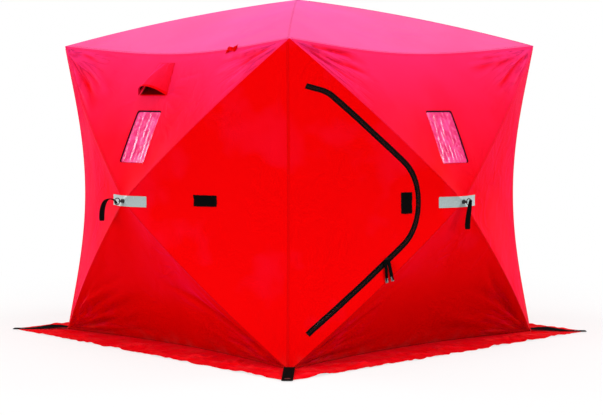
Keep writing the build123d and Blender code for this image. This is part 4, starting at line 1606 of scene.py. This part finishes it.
along, across = spread(np.linspace(-1, 1, tie["rows"]), np.linspace(-1, 1, tie["columns"]))
count = along.size
faces = gridFaces(*along.shape, flip=True)
faces += [tuple(i + count for i in face) for face in gridFaces(*along.shape)]
order = np.arange(count).reshape(along.shape)
rim = np.concatenate([order[0], order[1:, -1], order[-1, -2::-1], order[-2:0:-1, 0]])
faces += [(a, b, b + count, a + count) for a, b in zip(rim, np.roll(rim, -1))]
points = np.vstack([tiePoint(along, across, share).reshape(-1, 3) for share in (1.0, 0.35)])
flat = np.column_stack([(along * 0.035).ravel(), (across * 0.016).ravel()])
# A little painted shade on the tie.
edgeTie = makeMesh("roofEdgeTie", points, faces, np.tile(flat, (2, 1)), np.full(2 * count, -0.22))
finishPiece(edgeTie, wallCloth, None, ["roof_edge_tab"])
knotAt = toRow("left", tie["at"], tieZ, clothAt("upper", tie["at"], tieZ)[0] + tie["knotRise"])
knot = (knotAt, (leftAlong, up, leftOut), tie["knot"], tie["knotBevel"])
blockPiece("roofEdgeKnot", [knot], 4, wallCloth)
print("hood and tie")

# Ground skirt

skirt = {
    "reach": 0.200,
    "inner": 0.012,
    "thick": 0.0016,
    "rag": 0.009,
    "lift": 0.00336,
    "rows": 26,
    "columns": 170,
    "hem": (0.935, 0.942, 0.992, 0.999),
    "hemThick": 0.0008,
}


# How far the skirt lifts at a place, the same on both sides of a corner.
def groundHeight(x, y):
    return np.clip(ripple(x, y, 0.16, 71, 16) + 0.6 * ripple(x, y, 0.055, 72, 16), -0.4, 2.6)


# A skirt's flat place: along from -1 to 1, across from 0 under the wall to 1 at its outer edge.
def skirtPlan(wall, along, across):
    inS, outS = along * (half - skirt["inner"]), along * (half + skirt["reach"])
    inW = -shelter["bottomBow"] * bow((along + 1) / 2) - skirt["inner"]
    rag = ripple(along, 0 * along, 0.085, wallSeeds[wall] + 31, 12) * (1 - np.abs(along) ** 6)
    outW = skirt["reach"] + rag * skirt["rag"] * 0.7 - 0.004
    return inS + (outS - inS) * across, inW + (outW - inW) * across


skirtFolds = [  # how many folds of each kind, and what they draw from
    (26, {
        "x": (-0.95, 0.95),
        "y": (-0.04, 0.02),
        "degrees": (55, 125),
        "length": (0.10, 0.26),
        "narrow": 0.005,
        "wide": (0.010, 0.022),
        "height": (0.002, 0.006),
        "curve": (-0.8, 0.8),
    }),
    (9, {
        "x": (-0.9, 0.6),
        "y": (0.03, 0.16),
        "degrees": (-9, 9),
        "length": (0.2, 0.5),
        "narrow": 0.006,
        "wide": 0.014,
        "height": (0.002, 0.005),
        "curve": 0.1,
    }),
]


# A fold whose values are drawn, in the ranges' order, where they are a pair.
def drawFold(pick, ranges):
    drawn = {}
    for key, value in ranges.items():
        drawn[key] = pick.uniform(*value) if isinstance(value, tuple) else value
    return makeFold(**drawn)


def makeSkirtFolds(wall):
    pick = random.Random(wallSeeds[wall] + 5)
    return [drawFold(pick, ranges) for count, ranges in skirtFolds for i in range(count)]


def skirtPoint(wall, along, across, lift=0.0):
    s, w = skirtPlan(wall, along, across)
    points = toRow(wall, s, 0.0, w)
    folds = foldField(s, w, makeSkirtFolds(wall)) * smooth(0.02, 0.2, across) * (1 - np.abs(along) ** 8)
    free = smooth(0.12, 0.6, across) * (1 - smooth(0.82, 0.955, np.abs(along)))  # flat under the straps
    high = 0.0030 + skirt["lift"] * groundHeight(points[..., 0], points[..., 1]) * free
    points[..., 2] = np.maximum(high + np.clip(folds, -0.001, 0.02), 0.0022) + lift
    return points


for wall in wallAxes:
    along, across = spread(np.linspace(-1, 1, skirt["columns"]), np.linspace(0, 1, skirt["rows"]))
    points = skirtPoint(wall, along, across)
    # Painted light: the skirt paler where it lifts off the ground.
    pale = np.clip(0.10 + 0.22 * groundHeight(points[..., 0], points[..., 1]), 0, 0.5)
    cloth = gridMesh(wall + "Skirt", points, skirtPlan(wall, along, across), pale, flip=True)
    finishPiece(cloth, skirtCloth, skirt["thick"], [wall + "_skirt"])
    t = np.linspace(-0.985, 0.985, 220)
    rises = [felled["rise"] * rise for rise in rowRises]
    rows = [skirtPoint(wall, t, np.full(220, across), rise) for across, rise in zip(skirt["hem"], rises)]
    hem = np.stack(rows, axis=1)
    hemTape = joinStrips(wall + "SkirtHem", [hem])
    finishPiece(hemTape, skirtCloth, skirt["hemThick"])
    line = hem[:, 1] * 0.75 + hem[:, 2] * 0.25 + up * 0.0002
    threads = sew(wall + "SkirtStitching", [(line, up)], redThread)
print("skirt")

# Corner straps

cornerStrap = {
    "width": 0.050,
    "length": 0.283,
    "eyelet": 0.235,
    "hole": 0.0093,
    "thick": 0.0016,
    "grid": 0.0055,
    "base": 0.0054,
    "cut": 0.006,  # of the end's corners, along the strap
    "cutAcross": 0.007,
    "stitchMargin": 0.004,
}
strapShapes = {  # bend, and at places along the strap its height over the skirt and turn in degrees
    "frontLeft": {
        "corner": (-1, -1),
        "bend": 0.0,
        "stops": (0.0, 0.05, 0.10, 0.16, 0.205, 0.283),
        "heights": (0.010, 0.009, 0.006, 0.004, 0.0, 0.0),
        "turns": (0, 6, 4, 0, 0, 0),
    },
    "backLeft": {
        "corner": (-1, 1),
        "bend": 0.004,
        "stops": (0.0, 0.04, 0.09, 0.14, 0.20, 0.283),
        "heights": (0.010, 0.010, 0.008, 0.005, 0.0, 0.0),
        "turns": (0, -8, -12, -5, 0, 0),
    },
    "frontRight": {
        "corner": (1, -1),
        "bend": -0.004,
        "stops": (0.0, 0.04, 0.09, 0.15, 0.20, 0.283),
        "heights": (0.010, 0.009, 0.008, 0.005, 0.0, 0.0),
        "turns": (0, 8, 12, 4, 0, 0),
    },
    "backRight": {
        "corner": (1, 1),
        "bend": 0.0,
        "stops": (0.0, 0.05, 0.10, 0.16, 0.205, 0.283),
        "heights": (0.010, 0.010, 0.008, 0.004, 0.0, 0.0),
        "turns": (0, -8, -6, 0, 0, 0),
    },
}


# Points of a strap, from a along it and b across it.
def strapPlace(shape, a, b):
    sx, sy = shape["corner"]
    way, side = np.array([sx, sy, 0]) / math.sqrt(2), np.array([-sy, sx, 0]) / math.sqrt(2)
    turn = np.radians(np.interp(a, shape["stops"], shape["turns"]))
    shift = shape["bend"] * np.sin(math.pi * np.clip(a / 0.2, 0, 1))
    tilt = np.abs(np.sin(turn)) * cornerStrap["width"] / 2 * 0.85
    lift = np.interp(a, shape["stops"], shape["heights"]) + tilt
    base = np.array([sx * half, sy * half, cornerStrap["base"]])
    points = base + a[:, None] * way + (shift + b * np.cos(turn))[:, None] * side
    points[:, 2] += lift + b * np.sin(turn)
    return points


start, end, w = 0.0006, cornerStrap["length"], cornerStrap["width"] / 2
tipStart, tipSide = end - cornerStrap["cut"], w - cornerStrap["cutAcross"]
outline = [(start, -w), (tipStart, -w), (end, -tipSide), (end, tipSide), (tipStart, w), (start, w)]
hole = circle(cornerStrap["eyelet"], 0, cornerStrap["hole"], 32)
flat, tris = meshFlat(outline, [hole], cornerStrap["grid"])
for name, shape in strapShapes.items():
    strap = makeMesh(name + "Strap", strapPlace(shape, *flat.T), tris, flat[:, ::-1])
    finishPiece(strap, blackWebbing, cornerStrap["thick"], ["corner_straps"])
    t = np.linspace(0.004, 0.05, 20)
    sewn = w - cornerStrap["stitchMargin"]
    lines = [(strapPlace(shape, t, np.full(20, b)) + up * 0.0003, up) for b in (-sewn, sewn)]
    threads = sew(name + "StrapStitching", lines, blackThread)

# Pull straps through the hubs' rings

pullStrap = {"width": 0.025, "thick": 0.0024, "rows": 48, "columns": 7, "curl": 0.0016}
pullShapes = {  # s, height from the hub and w of each strap's line, and its turns in degrees from the wall
    "arched": {
        "line": [(0.004, -0.010, 0.3125), (0.000, 0.006, 0.3150), (-0.012, 0.013, 0.3225),
                 (-0.030, 0.015, 0.3310), (-0.050, 0.004, 0.3380), (-0.063, -0.024, 0.3410),
                 (-0.071, -0.058, 0.3420), (-0.072, -0.092, 0.3400)],
        "turns": (-84, -66, -46, -40),
    },
    "hanging": {
        "line": [(0.003, 0.002, 0.3125), (-0.002, 0.010, 0.3160), (-0.010, 0.009, 0.3230),
                 (-0.017, -0.008, 0.3260), (-0.023, -0.036, 0.3260), (-0.029, -0.068, 0.3250),
                 (-0.032, -0.100, 0.3240), (-0.033, -0.122, 0.3260)],
        "turns": (80, 62, 48, 38),
    },
}
pullStraps = {"front": "hanging", "left": "arched", "back": "hanging", "right": "arched"}
share = np.linspace(0, 1, pullStrap["rows"])
opened = np.interp(share, [0, 0.12, 0.3, 0.55, 0.8, 0.95, 1], [0.6, 0.5, 0.6, 0.85, 0.98, 1.0, 0.82])
for wall, kind in pullStraps.items():
    shape = pullShapes[kind]
    line = smoothLine([toRow(wall, s, hub + z, w) for s, z, w in shape["line"]], pullStrap["rows"])
    along, out = wallAxes[wall]
    angle = np.radians(np.interp(share, [0, 0.3, 0.55, 1], shape["turns"]))[:, None]
    across = along * np.cos(angle) + out * np.sin(angle)
    widths = pullStrap["width"] * opened  # gathered where it passes through the ring
    strap = ribbon(wall + "PullStrap", line, across, widths, pullStrap["columns"], pullStrap["curl"])
    finishPiece(strap, blackWebbing, pullStrap["thick"], ["pull_straps"])
print("straps")

# CAD parts that stay, with their finishes

cadFinish = {
    "wall_poles": (fibreglass, "pole"),
    "roof_poles": (fibreglass, "pole"),
    "wall_hubs": (hubPlastic, "hub"),
    "roof_hub": (hubPlastic, "hub"),
    "hub_rings": (ringMetal, "ring"),
    "corner_boots": (bootPlastic, "hub"),
    "strap_eyelets": (eyeletMetal, "eyelet"),
}
for name, (material, slot) in cadFinish.items():
    nodes[name].data.materials.clear()
    nodes[name].data.materials.append(material)
print("hard parts finished")

# Studio: pale floor, soft lamps, camera

studio = {
    "floorLevel": -0.0004,
    "floorReach": 60.0,
    "floorWhite": 0.72,  # share of plain white in what the camera sees of the floor near the shelter
    "whiteFrom": (1.5, 3.2),  # metres from the middle over which that share grows to all
    "floorGrey": 0.50,
    "worldLevel": 0.38,
    "lamps": {  # place, size and watts; each points at the shelter's middle
        "overhead": ((-0.9, -1.2, 5.8), 4.6, 95),
        "frontLeft": ((-6.5, -0.6, 2.1), 2.6, 168),
        "frontRight": ((-0.6, -6.5, 2.1), 2.6, 150),
        "farLeft": ((-2.6, 6.4, 2.4), 2.6, 260),
        "farRight": ((6.4, -2.6, 2.4), 2.6, 260),
    },
    "lampTarget": (0.0, 0.0, 0.8),
    "camera": {"place": (-5.589, -5.962, 1.217), "heading": -43.2682, "down": 4.0844, "lens": 95.78},
}


# 1 where the camera, a reflection or glass looks.
def whiteFor(tree):
    path = tree.nodes.new("ShaderNodeLightPath").outputs
    seen = calc(tree, "MAXIMUM", path["Is Camera Ray"], path["Is Glossy Ray"])
    return calc(tree, "MAXIMUM", seen, path["Is Transmission Ray"])


def makeFloor():
    mesh = bpy.data.meshes.new("floor")
    reach, level = studio["floorReach"], studio["floorLevel"]
    ring = [(x * reach, y * reach, level) for x, y in ((-1, -1), (1, -1), (1, 1), (-1, 1))]
    mesh.from_pydata(ring, [], [(0, 1, 2, 3)])
    material = bpy.data.materials.new("floorWhite")
    material.use_nodes = True
    tree = material.node_tree
    tree.nodes.clear()
    plain = put(tree, "ShaderNodeBsdfDiffuse", None, Color=(*[studio["floorGrey"]] * 3, 1.0)).outputs[0]
    near = put(tree, "ShaderNodeBsdfDiffuse", None, Color=(0.9, 0.9, 0.9, 1.0)).outputs[0]
    glow = put(tree, "ShaderNodeEmission", None, Color=(1.0, 1.0, 1.0, 1.0), Strength=1.0).outputs[0]
    away = put(tree, "ShaderNodeVectorMath", {"operation": "LENGTH"}, x_0=placeOf(tree)).outputs["Value"]
    share = ramp(tree, away, *studio["whiteFrom"], studio["floorWhite"], 1.0)
    both = put(tree, "ShaderNodeMixShader", None, x_0=share, x_1=near, x_2=glow).outputs[0]
    pick = put(tree, "ShaderNodeMixShader", None, x_0=whiteFor(tree), x_1=plain, x_2=both).outputs[0]
    put(tree, "ShaderNodeOutputMaterial", None, x_0=pick)
    mesh.materials.append(material)
    newObject("floor", mesh)


def makeWorld():
    world = bpy.data.worlds.new("studio")
    bpy.context.scene.world = world
    world.use_nodes = True
    tree = world.node_tree
    background = tree.nodes["Background"].inputs
    feed(tree, background["Strength"], ramp(tree, whiteFor(tree), 0.0, 1.0, studio["worldLevel"], 1.0))
    feed(tree, background["Color"], (1.0, 1.0, 1.0, 1.0))


def makeLamps():
    for name, (place, size, watts) in studio["lamps"].items():
        data = bpy.data.lights.new(name, "AREA")
        data.energy, data.size = watts, size
        lamp = newObject(name, data)
        lamp.location = place
        toTarget = Vector(place) - Vector(studio["lampTarget"])
        lamp.rotation_euler = toTarget.to_track_quat("Z", "Y").to_euler()


def makeCamera():
    view = studio["camera"]
    data = bpy.data.cameras.new("camera")
    data.lens, data.sensor_width, data.clip_end = view["lens"], 36.0, 200.0
    camera = newObject("camera", data)
    camera.location = view["place"]
    camera.rotation_euler = (math.radians(90 - view["down"]), 0.0, math.radians(view["heading"]))
    bpy.context.scene.camera = camera


makeFloor()
makeWorld()
makeLamps()
makeCamera()
bpy.context.scene.view_settings.view_transform = "Standard"
print("studio")
